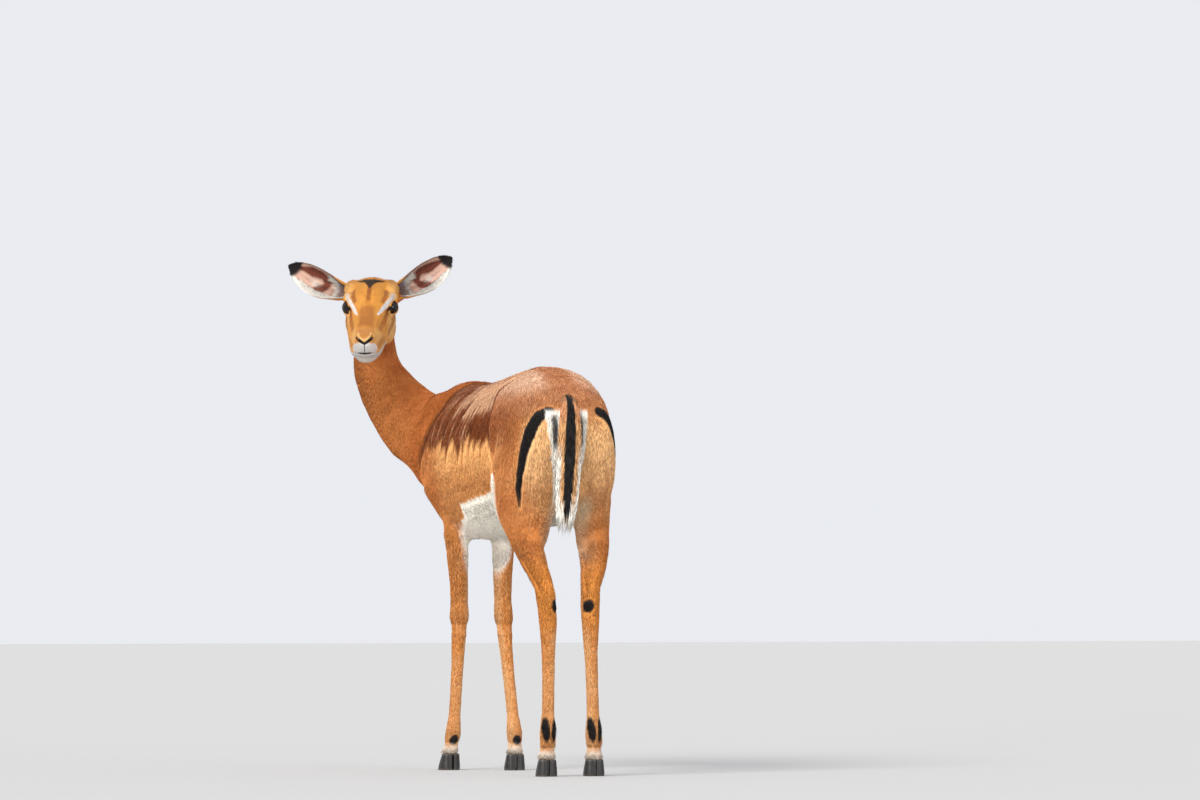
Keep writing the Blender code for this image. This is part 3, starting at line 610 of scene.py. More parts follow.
def crown_and_bridge(colours, p, fine):
    """The black cap that points down the brow, the darker streaks, and the nose with a painted
    highlight along the rim over its nostrils.
    """
    side, ahead, up = p.T
    top = up > 0
    half = np.interp(ahead, (-0.054, -0.046, -0.039, -0.033, -0.024, -0.004),
                     (0.029, 0.03, 0.022, 0.0135, 0.0085, 0.0))
    cap = (ease(0.003, -0.0015, side - half + 0.0015 * fine) * top
           * ease(-0.052, -0.047, ahead + 0.08 * side) * ease(-0.004, -0.008, ahead))
    bridge = ease(0.022, 0.011, side) * ease(0.035, 0.065, ahead) * ease(0.126, 0.108, ahead)
    return layer(
        colours,
        (FACE_DARK, 0.75 * ease(0.0075, 0.0025, side + 0.001 * fine)
         * strip(ahead, 0.012, 0.016, 0.016) * top),
        (FACE_DARK, 0.65 * ease(0.008, 0.003, gap_to(p, BROW_PATCH) + 0.001 * fine)),
        (FACE_PALE, 0.45 * strip(ahead, -0.02, 0.016, 0.014) * ease(0.034, 0.044, side) * (up > 0.016)),
        (RUFOUS, 0.7 * ease(-0.05, -0.08, ahead) * top),
        (BLACK, 0.95 * cap),
        (BRIDGE, 0.58 * bridge * (up > -0.02)),
        (NOSE, ease(0.116, 0.126, ahead) * ease(0.024, 0.018, side) * (up > -0.022)),
        # painted highlight along the ridge over the nostrils
        (FACE_PALE, ease(0.004, 0.0016, gap_to(p, NOSE_RIM) + 0.0005 * fine)))


def stripes_and_cheeks(colours, p, fine):
    """Pale cheeks, the dark stripes under the eye and the white one over it."""
    side, ahead, up = p.T
    below, along = near_line(p, CHEEK_STRIPE)
    over, share = near_line(p, EYE_STRIPE)
    half = np.interp(share, (0, 0.25, 0.7, 1), (0.0066, 0.0058, 0.0042, 0.0018))
    return layer(
        colours,
        (FACE_PALE, 0.65 * ease(0.04, 0.048, side) * ease(0.012, -0.004, up)
         * ease(-0.02, 0.01, ahead) * ease(0.11, 0.07, ahead)),
        (FACE_PALE, 0.6 * ease(0.09, 0.125, ahead) * ease(0.014, 0.026, side)
         * ease(-0.036, -0.028, up) * ease(0.004, -0.004, up)),
        (RUFOUS, 0.75 * ease(0.02, -0.03, ahead) * ease(0.015, -0.01, up)),
        (FACE_DARK, 0.68 * ease(0.0095, 0.003, gap_to(p, CHEEK_SHADE) + 0.002 * fine)),
        (FACE_DARK, 0.9 * ease(0.0085, 0.003, below + 0.001 * fine) * (1 - 0.5 * along)),
        (LIP_WHITE * 1.15, ease(0.0022, -0.0012, over - half + 0.0012 * fine)
         * (0.55 + 0.45 * ease(0.0, 0.15, share))))


LIP_UP, LIP_SIDE = -0.0318, 0.0262  # the white lip's centre and half width


def lips_and_chin(colours, p, fine):
    side, ahead, up = p.T
    aside = side / LIP_SIDE
    round_lip = np.hypot(aside, (up - LIP_UP) / 0.016)
    square_lip = (aside ** 3 + np.abs((up - LIP_UP) / 0.0166) ** 3) ** (1 / 3)
    lip = ease(1.06, 0.96, 0.4 * round_lip + 0.6 * square_lip + 0.04 * fine)
    return layer(
        colours,
        (LIP_TAN, 0.8 * ease(0.09, 0.11, ahead) * ease(-0.018, -0.026, up)),
        (LIP_WHITE, ease(0.12, 0.134, ahead) * lip),
        (FACE_PALE, 0.8 * strip(up, -0.038, 0.002, 0.003) * ease(0.095, 0.115, ahead)
         * ease(0.022, 0.027, side)),
        (LIP_WHITE, ease(-0.041, -0.044, up) * ease(0.062, 0.1, ahead)),
        (WHITE, 0.8 * ease(-0.05, -0.062, up) * ease(-0.05, 0.000, ahead) * ease(0.04, 0.03, side)))


def bare_darks(colours, points, p, fine):
    """Nostrils, the line under them, the mouth, and the rims of the eyes."""
    nostril, share = near_line(p, NOSTRIL_V)
    wide = np.interp(share, (0, 0.25, 0.5, 0.8, 1), (0.002, 0.0032, 0.0035, 0.0029, 0.0024))
    mouth, share = near_line(p, MOUTH_LINE)
    half = np.interp(share, (0, 0.14, 0.22, 0.5, 1), (0.0024, 0.0019, 0.0007, 0.0004, 0.0003))
    fade = np.interp(share, (0, 0.16, 0.3, 0.7, 1), (0.95, 0.95, 0.6, 0.5, 0))
    colours = layer(colours, (BLACK, ease(0.0012, -0.0004, nostril - wide)),
                    (BLACK, 0.92 * ease(0.0019, 0.0007, gap_to(p, PHILTRUM))),
                    (MOUTH, ease(0.0014, -0.0002, mouth - half) * fade))
    for eye in SIDES:
        past, near = past_lids(points, eye)
        colours = layer(colours, (BLACK, ease(0.165, 0.1, past + 0.025 * fine) * near))
    duct, share = near_line(p, TEAR_DUCT)
    return layer(colours, (BLACK, ease(0.0062, 0.0038, duct + 0.004 * share)))


# --- the eye
SLIT_AXIS = (0.715, 0.61, 0.35)  # the way the slit between the lids looks
LID_HALF_ANGLES = (math.radians(45), math.radians(24.5))  # along the slit, and up
SLIT_RISE = math.radians(30)  # the outer corner stands higher
LID_REACH = 0.04  # nothing of the lids is further from the ball's middle


def lid_frame(side):
    """X along the slit towards the nose, Y up across it, Z the way it looks."""
    look = Vector((SIGN[side] * SLIT_AXIS[0], SLIT_AXIS[1], SLIT_AXIS[2])).normalized()
    nose = (Vector((0, 1, 0)) - look * look.y).normalized()
    over = look.cross(nose) * SIGN[side]
    nose, over = (nose * math.cos(SLIT_RISE) - over * math.sin(SLIT_RISE),
                  over * math.cos(SLIT_RISE) + nose * math.sin(SLIT_RISE))
    place = HEAD.to_3x3()
    return np.stack([np.array(place @ v) for v in (nose, over, look)], 1)


LIDS = {side: lid_frame(side) for side in SIDES}


def past_lids(points, side):
    """The angle past the lids' rim, seen from the ball's middle, and which points are near."""
    away = points - EYE_AT[side]
    distance = np.linalg.norm(away, axis=1)
    local = (away / np.maximum(distance, 1e-6)[:, None]) @ LIDS[side]
    flat = np.maximum(np.hypot(local[:, 0], local[:, 1]), 1e-6)
    rim = 1 / np.hypot(*(local[:, k] / flat / LID_HALF_ANGLES[k] for k in (0, 1)))
    return np.arccos(np.clip(local[:, 2], -1, 1)) - rim, (distance > 0) & (distance < LID_REACH)


def on_rim(side, angles, scale):
    """The ways from the ball's middle to the lids' rim, at angles around the slit."""
    u = np.cos(angles) * LID_HALF_ANGLES[0] * scale
    v = np.sin(angles) * LID_HALF_ANGLES[1] * scale
    tilt = np.hypot(u, v)
    local = np.stack((np.sin(tilt) * u / tilt, np.sin(tilt) * v / tilt, np.cos(tilt)), 1)
    return local @ LIDS[side].T


def add_eye(side):
    """A ball with a bulge over a dark iris, a slot pupil and a pale rim."""
    ball = bmesh.new()
    bmesh.ops.create_uvsphere(ball, u_segments=64, v_segments=40, radius=EYE_RADIUS)
    mesh = mesh_from(ball)
    points = vertices_of(mesh)
    faces = [tuple(f.vertices)[::-SIGN[side]] for f in mesh.polygons]
    bpy.data.meshes.remove(mesh)
    bulge = np.exp(-(np.arccos(np.clip(points[:, 2] / EYE_RADIUS, -1, 1)) / 0.62) ** 4)
    points *= (1 + 0.035 * bulge)[:, None] * 0.995
    radius = np.hypot(points[:, 0], points[:, 1])
    front = points[:, 2] > 0
    slot = np.hypot(points[:, 0] / 0.0085, points[:, 1] / 0.0048)
    colours = layer(plain(tone(22, 13, 10), len(points)),
                    (tone(44, 26, 16), 0.8 * strip(radius, 0.0098, 0.0018, 0.002) * front),
                    (tone(4, 4, 6), ease(1.15, 0.85, slot) * front),
                    (tone(70, 52, 44), ease(0.015, 0.0168, radius)))
    points = points @ LIDS[side].T + EYE_AT[side]
    piece = make_piece("eyeball_" + side, points, faces, colours, EYE_GLOSS)
    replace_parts(piece, "eye_" + side)


# --- materials
def fill(node, values):
    """Sets a node's own sockets by name."""
    for name, value in values.items():
        node.inputs[name].default_value = value
    return node


def new_material(name, roughness):
    """A material, its shader, and what makes its nodes and links."""
    material = bpy.data.materials.new(name)
    material.use_nodes = True
    tree = material.node_tree
    shader = fill(tree.nodes["Principled BSDF"], {"Roughness": roughness})
    return material, shader, tree.nodes.new, tree.links.new


def marked_material(name, roughness, bump, bump_size, variation, sheen=0.0, specular=0.5):
    """The piece's own markings, with fine variation of colour and surface."""
    material, shader, node, link = new_material(name, roughness)
    fill(shader, {"Sheen Weight": sheen, "Specular IOR Level": specular})
    marks = node("ShaderNodeAttribute")
    marks.attribute_name = "Markings"
    place = node("ShaderNodeTexCoord")
    fine = fill(node("ShaderNodeTexNoise"), {"Scale": 1 / bump_size, "Detail": 3})
    span = fill(node("ShaderNodeMapRange"), {"From Min": 0.3, "From Max": 0.7,
                                             "To Min": 1 - variation, "To Max": 1 + variation})
    tint = node("ShaderNodeVectorMath")
    tint.operation = "SCALE"
    relief = fill(node("ShaderNodeBump"), {"Strength": bump, "Distance": bump_size * 0.4})
    link(place.outputs["Object"], fine.inputs["Vector"])
    link(fine.outputs["Fac"], span.inputs["Value"])
    link(marks.outputs["Color"], tint.inputs[0])
    link(span.outputs["Result"], tint.inputs["Scale"])
    link(tint.outputs["Vector"], shader.inputs["Base Color"])
    link(fine.outputs["Fac"], relief.inputs["Height"])
    link(relief.outputs["Normal"], shader.inputs["Normal"])
    return material


SKIN = marked_material("skin_short_fur", 0.78, 0.45, 0.0016, 0.16, sheen=0.02, specular=0.2)
FUR = marked_material("fur_tufts", 0.62, 0.15, 0.0009, 0.14, sheen=0.03, specular=0.25)
HORN = marked_material("claw_horn", 0.42, 0.35, 0.0022, 0.22)
EYE_GLOSS = marked_material("eye_gloss", 0.11, 0.0, 0.004, 0.1, specular=0.3)


# --- meshes
def add_object(name, data):
    obj = bpy.data.objects.new(name, data)
    bpy.context.scene.collection.objects.link(obj)
    return obj


def mesh_from(grid):
    mesh = bpy.data.meshes.new("mesh")
    grid.to_mesh(mesh)
    grid.free()
    return mesh


def make_piece(name, points, faces, colours, material):
    mesh = bpy.data.meshes.new(name)
    mesh.from_pydata(points.tolist(), [], faces)
    return finish_piece(name, mesh, colours, material)


def finish_piece(name, mesh, colours, material):
    flat = np.ones((len(colours), 4), np.float32)
    flat[:, :3] = np.clip(colours, 0, 1)
    marks = mesh.color_attributes.new("Markings", "FLOAT_COLOR", "POINT")
    marks.data.foreach_set("color", flat.ravel())
    mesh.materials.clear()
    mesh.materials.append(material)
    mesh.shade_smooth()
    piece = add_object(name, mesh)
    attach(piece, "root")
    return piece


def relax(mesh, factor, rounds, regrow=-1.04):
    """Evens the mesh out without shrinking it; factor is a share for each vertex."""
    a, b = read(mesh.edges, "vertices", 2, np.int32).T
    points = vertices_of(mesh)
    count = len(points)
    degree = np.bincount(a, minlength=count) + np.bincount(b, minlength=count)
    for step in range(rounds * 2):
        share = factor * (1 if step % 2 == 0 else regrow)
        mean = np.stack([np.bincount(a, points[b, k], count) + np.bincount(b, points[a, k], count)
                         for k in range(3)], 1) / np.maximum(degree, 1)[:, None]
        points += (mean - points) * share[:, None]
    move(mesh, points)
    return points


def solid_of(name):
    """A CAD node's solid with its faces joined at their edges."""
    solid = bmesh.new()
    solid.from_mesh(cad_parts[name].data)
    bmesh.ops.remove_doubles(solid, verts=solid.verts, dist=1e-5)
    return solid


def remeshed(grid, size):
    """The grid's solids grown together, in even faces of one size."""
    data = mesh_from(grid)
    holder = add_object("holder", data)
    remesh = holder.modifiers.new("even", "REMESH")
    remesh.mode = "VOXEL"
    remesh.voxel_size = size
    graph = bpy.context.evaluated_depsgraph_get()
    mesh = bpy.data.meshes.new_from_object(holder.evaluated_get(graph))
    bpy.data.objects.remove(holder)
    bpy.data.meshes.remove(data)
    return mesh


# --- the skin
FLESH = ("trunk", "neck", "head") + tuple("leg_" + name for name in LEGS)
TAIL_DOCK = mm(  # middle, half width, half thickness
    (8, 343, 793, 16.5, 14), (13, 380, 780, 16.5, 12.5), (20, 405, 738, 11, 6),
    (25, 412, 680, 8.5, 4.5), (29, 415, 620, 6.5, 4), (33, 415, 570, 3, 2.5))
DOCK_RINGS, DOCK_SIDES = 24, 12


def add_dock(mesh):
    """The tail's core, lofted through its rings and capped at both ends."""
    rows = curve_through(TAIL_DOCK, DOCK_RINGS)
    turn = np.linspace(0, TURN, DOCK_SIDES, endpoint=False)[:, None]
    loops = []
    for k, row in enumerate(rows):
        along = rows[min(k + 1, DOCK_RINGS - 1), :3] - rows[max(k - 1, 0), :3]
        along /= np.linalg.norm(along)
        across = np.array((1, 0, 0)) - along * along[0]
        across /= np.linalg.norm(across)
        ring = (row[:3] + across * np.cos(turn) * row[3]
                + np.cross(across, along) * np.sin(turn) * row[4] + ORIGIN)
        loops.append([mesh.verts.new(p) for p in ring])
    for a, b in zip(loops, loops[1:]):
        for k, c in enumerate(a):
            mesh.faces.new((c, a[(k + 1) % DOCK_SIDES], b[(k + 1) % DOCK_SIDES], b[k]))
    mesh.faces.new(loops[0][::-1])
    mesh.faces.new(loops[-1])


def fused_flesh():
    """The solids of flesh grown together over their cuts, eyes and dock included."""
    mesh = bmesh.new()
    for name in FLESH:
        solid = solid_of(name)
        solid.normal_update()
        for v in solid.verts:
            v.co += v.normal * SEAM
        data = mesh_from(solid)
        mesh.from_mesh(data)
        bpy.data.meshes.remove(data)
    for side in SIDES:
        bmesh.ops.create_icosphere(mesh, subdivisions=3, radius=EYE_RADIUS + 0.001,
                                   matrix=Matrix.Translation(EYES[side]))
    add_dock(mesh)
    return remeshed(mesh, GRAIN)


def refine(mesh, wanted):
    """Splits the faces whose corners are all wanted into four."""
    grid = bmesh.new()
    grid.from_mesh(mesh)
    chosen = wanted(vertices_of(mesh))
    edges = [e for e in grid.edges if chosen[e.verts[0].index] and chosen[e.verts[1].index]]
    bmesh.ops.subdivide_edges(grid, edges=edges, cuts=1, use_grid_fill=True, smooth=0.0)
    bmesh.ops.triangulate(grid, faces=[f for f in grid.faces if len(f.verts) > 4])
    grid.to_mesh(mesh)
    grid.free()
    mesh.update()


def fine_places(points):
    """Muzzle and eyes, where the smallest folds are."""
    p = on_head(points)
    fine = np.all((p > (-1, 0.1, -0.08)) & (p < (0.05, 0.2, 0.02)), axis=1)
    for side in SIDES:
        away = points - EYE_AT[side]
        fine |= (np.linalg.norm(away, axis=1) < 0.034) & (away @ LIDS[side][:, 2] > -0.004)
    return fine


def relief(points, rows):
    """The height of rounded ridges and grooves along lines, fading at their ends."""
    height = np.zeros(len(points))
    for line, half, depth in rows:
        gap, share = near_line(points, line)
        ends = ease(0, 0.15, share) * ease(1.0, 0.85, share)
        height += depth * bell(gap, 0, half) * (0.25 + 0.75 * ends)
    return height


# On the straight body, left side: line, half width, height (a groove is negative).
BODY_RELIEF = (
    (HAUNCH_CREASE, 0.0075, -0.0068),
    (mm((50, 245, 850), (90, 225, 805), (116, 215, 740), (122, 215, 680)), 0.03, 0.0024),
    (SHOULDER_LINE, 0.01, -0.0022),
    (mm((80, -215, 800), (104, -205, 730), (104, -200, 650)), 0.022, 0.0022),
    (mm((104, -165, 760), (114, -150, 700), (106, -145, 630)), 0.012, -0.0022),
    (mm((85, 120, 820), (116, 100, 770), (124, 95, 700)), 0.028, -0.003),
    (mm((60, 150, 850), (85, 155, 832)), 0.014, 0.003),
    (mm((100, 290, 740), (104, 300, 680), (104, 305, 610), (92, 320, 540)), 0.008, -0.002),
    (mm((110, 225, 600), (112, 262, 545), (98, 295, 490)), 0.01, -0.0016),
    (mm((0, 300, 850), (0, 100, 870), (0, -100, 850)), 0.01, 0.0012),
)
RIB_GAP, FIRST_RIB = 0.026, -0.07


def body_relief(points):
    p = mirrored(straight(points))
    y, z = p[:, 1], p[:, 2]
    wave = 0.5 + 0.5 * np.cos((y + 0.35 * (z - 0.65) - FIRST_RIB) / RIB_GAP * TURN)
    on = ease(-0.1, -0.04, y) * ease(0.1, 0.04, y) * ease(0.56, 0.62, z) * ease(0.8, 0.74, z)
    return relief(p, BODY_RELIEF) + 0.0011 * wave * on


BRISKET_WAY = (0.744, -0.411, -0.525)  # the plane that trims the brisket, left side
BRISKET_REACH = -0.1407
BRISKET_ROUND = 0.008


def trim_brisket(points):
    """Slopes the chest's lower corners back from the neck to the forelegs."""
    p = straight(points)
    s, y, z = p.T
    over = mirrored(p) @ np.array(BRISKET_WAY) - BRISKET_REACH
    eased = np.maximum(over + BRISKET_ROUND, 0) ** 2 / (4 * BRISKET_ROUND)
    cut = np.where(over > BRISKET_ROUND, over, eased)
    cut = cut * ease(-0.15, -0.2, y) * ease(0.512, 0.545, z) * ease(0.7, 0.64, z)
    way = np.tile(BRISKET_WAY, (len(s), 1))
    way[:, 0] *= np.sign(s)
    return points - bent(way, y) * cut[:, None]


def leg_relief(points):
    """Tendons behind the cannon bones and the hollow before the hock's cord."""
    height = np.zeros(len(points))
    z = points[:, 2]
    for name in LEGS:
        dx, dy = from_leg(points, name)
        cord = 0.0012 * bell(dy, 0.003, 0.0028) * strip(z, 0.2, 0.06, 0.05)
        pastern = 0.001 * strip(z, 0.058, 0.003, 0.01)
        if name.startswith("hind"):
            own = -0.0035 * bell(dy, 0.012, 0.006) * strip(z, 0.425, 0.02, 0.03)
        else:
            own = (0.001 * bell(dy, -0.012, 0.01) * strip(z, 0.345, 0.01, 0.022)
                   - 0.0012 * strip(z, 0.312, 0.004, 0.014))
        height += (own - cord - pastern) * (np.hypot(dx, dy) < 0.05)
    return height


FACE_RELIEF = (  # in the head's frame, left side
    (mm((48, -20, 26), (47, -4, 25), (42, 14, 20)), 0.0055, 0.0018),
    (mm((46, 26, -14), (40, 60, -20), (36, 90, -24)), 0.008, 0.0014),
    (mm((49, -20, -30), (52, 10, -45), (48, 30, -58)), 0.007, -0.0014),
    (mm((20, 60, 22), (17, 100, 10), (16, 124, 4)), 0.006, 0.001),
    (mm((40, 30, 6), (36, 60, 0), (31, 95, -6)), 0.007, -0.0018),
    (mm((36, 100, -20), (34, 125, -22), (27, 146, -24)), 0.006, 0.001),
    (mm((40, -30, 30), (36, -10, 34)), 0.01, -0.0012),
    (mm((0, 20, 40), (0, 60, 28)), 0.009, -0.0008),
)


def face_relief(points):
    p = on_head(points)
    gap, share = near_line(p, NOSTRIL)
    half = np.interp(share, (0, 0.3, 0.7, 1), (0.0024, 0.0036, 0.0035, 0.0022))
    nostril = -0.0065 * ease(1.25, 0.25, gap / half) + 0.001 * strip(gap, 0.0048, 0.0006, 0.0026)
    nose = 0.0008 * bell(gap_to(p, NOSE_RIM), 0, 0.0028) - 0.0014 * bell(gap_to(p, PHILTRUM), 0, 0.0014)
    gap, share = near_line(p, MOUTH_LINE)
    mouth = (-0.0028 * bell(gap, 0, 0.0015) * (1 - 0.6 * ease(0.7, 1, share))
             + 0.0008 * strip(gap, 0.004, 0.0008, 0.003))
    return relief(p, FACE_RELIEF) + nostril + nose + mouth


LID_THICKNESS = 0.0013


def fit_lids(points):
    """Draws the skin over the ball as lids, and under it within the slit."""
    for side in SIDES:
        past, near = past_lids(points, side)
        away = points - EYE_AT[side]
        length = np.linalg.norm(away, axis=1)
        near = near & (length > 0.006) & (past < 1.5)
        lid = EYE_RADIUS + LID_THICKNESS * (1 - 0.6 * bell(past, 0.24, 0.05))
        under = EYE_RADIUS - 0.003 + (LID_THICKNESS + 0.0026) * ease(-0.06, 0.0, past)
        lid = np.where(past < 0, under, lid)
        target = lid + (length - lid) * ease(0.2, 0.62, past)
        target = np.where(past > 0, np.maximum(target, EYE_RADIUS + 0.0008), target)
        fitted = EYE_AT[side] + away / np.maximum(length, 1e-6)[:, None] * target[:, None]
        points = np.where(near[:, None], fitted, points)
    return points


EAR_MIDDLE = 0.0095  # the ear's opening lies this far before its axis


def hollow_ears(points):
    """Sinks the flat top of each ear's mound, so that the ear opens into the head."""
    for side in SIDES:
        p = to_frame(points, EARS[side])
        radius = np.hypot(p[:, 0], p[:, 1] - EAR_MIDDLE)
        sink = ease(0.015, 0.006, radius) * ease(0.004, 0.012, p[:, 2]) * (p[:, 2] < 0.03)
        p[:, 2] -= 0.02 * sink
        points = np.where((sink > 0)[:, None], from_frame(p, EARS[side]), points)
    return points


def coat_depth(points):
    share = zones(points)
    return sum(share[name] * COAT[name]["depth"] for name in COAT)


LID_STEPS = 56
BEAD = 0.0005  # radius of the dark bead along each slit


def lid_rims():
    """A dark bead along each slit, as a closed ring to be joined to the skin."""
    for side in SIDES:
        out = on_rim(side, TURN * np.arange(LID_STEPS) / LID_STEPS, 0.985)
        along = unit(np.roll(out, -1, 0) - np.roll(out, 1, 0))
        across = np.cross(along, out)
        turn = np.linspace(0, TURN, 8, endpoint=False)[None, :, None]
        ring = (out[:, None] * np.sin(turn) + across[:, None] * np.cos(turn)) * BEAD
        yield EYE_AT[side] + out[:, None] * (EYE_RADIUS + 0.0001) + ring, BLACK * 1.3


EAR_TABLE = curve_through(EAR_SECTIONS, 60)
EAR_ROUND = 0.885  # share from which the tip is rounded off
EAR_COAT_END = 0.0045  # fur past the end of the hide
EAR_TUCK = 0.008  # at the root the edges run this much deeper into the mound
EAR_CLOSE = 0.02  # and draw back this far towards the ear's own middle


def ear_point(side, share, turn, depth):
    """A point of the ear's hide, in the row's frame: share of its length, turn across it
    from its upper edge, 1, to its lower edge, -1, and depth under its outer face."""
    turn = turn * SIGN[side]
    half, curl = (np.interp(share, EAR_TABLE[:, 0], EAR_TABLE[:, k]) for k in (1, 2))
    tip = np.clip((share - EAR_ROUND) / (1 - EAR_ROUND), 0, 1)
    half = half * np.sqrt(np.maximum(1 - tip**2, 0.02)) * (0.86 + 0.14 * ease(0.0, 0.14, share))
    curl = np.radians(curl)
    radius = half / curl
    closing = ease(0.5, 1.0, np.abs(turn)) * ease(0.26, 0.02, share)
    height = EAR_START + share * (EAR_LENGTH[side] - EAR_COAT_END - EAR_START) - EAR_TUCK * closing
    sag = -SIGN[side] * EAR_DROOP * np.sin(math.pi * np.clip(share, 0, 1))
    reach = np.maximum(radius - depth * (1 - 0.55 * np.abs(turn) ** 3), 0.001)
    ahead = 0.55 * radius - reach * np.cos(curl * turn) - EAR_CLOSE * closing
    return from_frame(np.stack((reach * np.sin(curl * turn) + sag, ahead, height), -1), EARS[side])


EAR_BROWN = ((0.84, 0.36), (0.62, 0.42), (0.44, 0.44), (0.355, 0.14), (0.38, -0.22), (0.47, -0.44))
EAR_SPAN = (0.15, 0.042)  # the size of a share along the ear, and of a turn across it


def ear_back(share, turn, soft):
    return layer(plain(tone(206, 144, 86), len(share)),
                 (tone(150, 96, 58), 0.5 * np.clip(0.4 + soft, 0, 1)),
                 (tone(92, 58, 38), 0.7 * ease(0.8, 0.95, turn)),
                 (FACE * 1.15, ease(0.34, 0.06, share + 0.03 * soft)))


def ear_inside(share, turn, soft, fine):
    """Bare hide with a brown hook, white hair along its edges, a dark base that is partly painted shade
    in the ear's hollow, and painted shade along a fold.
    """
    flat = np.stack((share * EAR_SPAN[0], turn * EAR_SPAN[1]), 1)
    gap, along = near_line(flat, np.array(EAR_BROWN) * EAR_SPAN)
    half = np.interp(along, (0, 0.3, 0.6, 0.85, 1), (0.0075, 0.0135, 0.0085, 0.008, 0.0095))
    brown = ease(0.0035, -0.0025, gap - half + 0.003 * soft + 0.0015 * fine)
    base = ease(0.34, 0.22, share + 0.02 * soft) * ease(-0.1, 0.4, turn)
    fold = strip(turn, -0.66, 0.03, 0.05) * strip(share, 0.62, 0.14, 0.06)
    return layer(plain(tone(210, 170, 150), len(share)),
                 (tone(112, 46, 26), 0.95 * brown),
                 (WHITE, 0.7 * bell(share, 0.53, 0.06) * bell(turn, -0.18, 0.14)),
                 (tone(206, 196, 190), 0.8 * base),
                 # grey-mauve hair at the base, darkened with painted shade in the ear's hollow
                 (tone(136, 108, 104), 0.75 * ease(0.26, 0.1, share + 0.03 * soft)),
                 # painted shade along the fold by the lower edge
                 (tone(84, 52, 42), 0.85 * fold),
                 (WHITE, 0.9 * ease(-0.7, -0.8, turn) * ease(0.05, 0.2, share)),
                 (tone(70, 44, 34), 0.6 * ease(0.9, 0.97, turn)))


def ear_markings(side, share, turn, inner):
    """Colours on the ear's back, or inside where inner is 1, with its black tip."""
    apart = inner * 0.03 + SIGN[side] * 0.5  # so that no two faces carry the same noise
    place = np.stack((share * 0.16, turn * 0.04, np.full(len(share), apart)), 1)
    soft = noise(place, 0.013, 41)
    fine = noise(place * (1, 3, 1), 0.004, 42)
    colour = ear_inside(share, turn, soft, fine) if inner else ear_back(share, turn, soft)
    slant = -0.05 * np.clip(-turn, 0, 1) + 0.03 * np.clip(turn, 0, 1)
    return layer(colour * 0.82, (BLACK, ease(0.8, 0.85, share + 0.015 * fine + slant)))


EAR_GRID = (56, 33)  # points along and across
EAR_FOLDS = ((0.35, 0.1), (0.0, 0.12), (-0.38, 0.1))  # turn and half width of ridges


def ear_skins():
    """Each ear's hide as a closed curled leaf, with the folds along its inside."""
    share, turn = np.meshgrid(np.linspace(0, 1, EAR_GRID[0]), np.linspace(-1, 1, EAR_GRID[1]),
                              indexing="ij")
    fold = sum(bell(turn, at, half) for at, half in EAR_FOLDS)
    fold = fold * ease(0.08, 0.3, share) * ease(0.95, 0.6, share)
    for side in SIDES:
        outer = ear_point(side, share, turn, EAR_COAT)
        inner = ear_point(side, share, turn, EAR_COAT + EAR_HIDE + 0.0007 * fold)
        back, hide = (ear_markings(side, share.ravel(), turn.ravel(), k).reshape(outer.shape)
                      for k in (0, 1))
        yield np.hstack((outer, inner[:, ::-1])), np.hstack((back, hide[:, ::-1]))


def outward(grid, colours, closed):
    """The grid with its columns in the order that turns its faces outward."""
    faces = grid_faces(*grid.shape[:2], 0, closed)
    triangles = np.array([face[:3] for face in faces if len(face) == 4])
    flat = grid.reshape(-1, 3) - grid.reshape(-1, 3).mean(0)
    a, b, c = (flat[triangles[:, k]] for k in range(3))
    if np.sum(a * np.cross(b, c)) > 0:
        return grid, colours
    return grid[:, ::-1], colours if closed else colours[:, ::-1]


def grid_faces(rows, columns, start, closed_rows):
    faces = []
    for r in range(rows if closed_rows else rows - 1):
        for c in range(columns):
            a = start + r * columns + c
            b = start + r * columns + (c + 1) % columns
            up = ((r + 1) % rows - r) * columns
            faces.append((a, b, b + up, a + up))
    if not closed_rows:
        faces.append(tuple(start + c for c in range(columns))[::-1])
        faces.append(tuple(start + (rows - 1) * columns + c for c in range(columns)))
    return faces


def markings(points):
    """The animal's colours, which skin and tufts share."""
    share = zones(points)
    lower = ease(0.6, 0.5, points[:, 2]) * ease(0.09, 0.07, leg_gaps(points).min(0))
    colours = layer(body_markings(points), (leg_markings(points), lower))
    for zone, own in (("neck", neck_markings), ("head", head_markings)):
        there = share[zone] > 0
        if there.any():
            colours[there] = layer(colours[there], (own(points[there]), share[zone][there]))
    return colours


HOLD_REACH = 0.012  # points this far from the solids' surface need no holding
HELD_SHARE = 0.8  # of the coat's depth


def hold_inside(points, solid, depth):
    """Draws in what would come closer to the solids' surface than the coat is deep."""
    tree = BVHTree.FromPolygons([v.co for v in solid.vertices],
                                [tuple(f.vertices) for f in solid.polygons])
    held = points.copy()
    for k, point in enumerate(points):
        place, normal, _, _ = tree.find_nearest(Vector(point), HOLD_REACH)
        if place is None:
            continue
        over = (Vector(point) - place).dot(normal) + depth[k]
        if over > 0:
            held[k] -= np.array(normal) * over
    return held


# On the straight body: where the neck and the chest meet the trunk, and how widely.
SOFT_JOINTS = (((0.06, -0.31, 0.665), 0.075), ((0.02, -0.17, 0.835), 0.05))


def smooth_skin(mesh):
    """Evens out the solids' facets, most where the neck and the chest meet the trunk."""
    points = vertices_of(mesh)
    share = zones(points)
    factor = 0.62 * (share["trunk"] + share["neck"]) + 0.5 * share["legs"] + 0.4 * share["head"]
    relax(mesh, factor, 26)
    relax(mesh, factor * (1 - share["head"]) * (1 - share["legs"]), 40)
    p = mirrored(straight(points))
    joints = sum(np.exp(-np.sum((p - at) ** 2, axis=1) / size**2) for at, size in SOFT_JOINTS)
    relax(mesh, 0.6 * np.clip(joints, 0, 1), 36, regrow=-0.55)
    refine(mesh, lambda p: zones(p)["head"] > 0.5)
    relax(mesh, 0.45 * zones(vertices_of(mesh))["head"], 7)
    refine(mesh, fine_places)
    relax(mesh, 0.45 * fine_places(vertices_of(mesh)), 2)


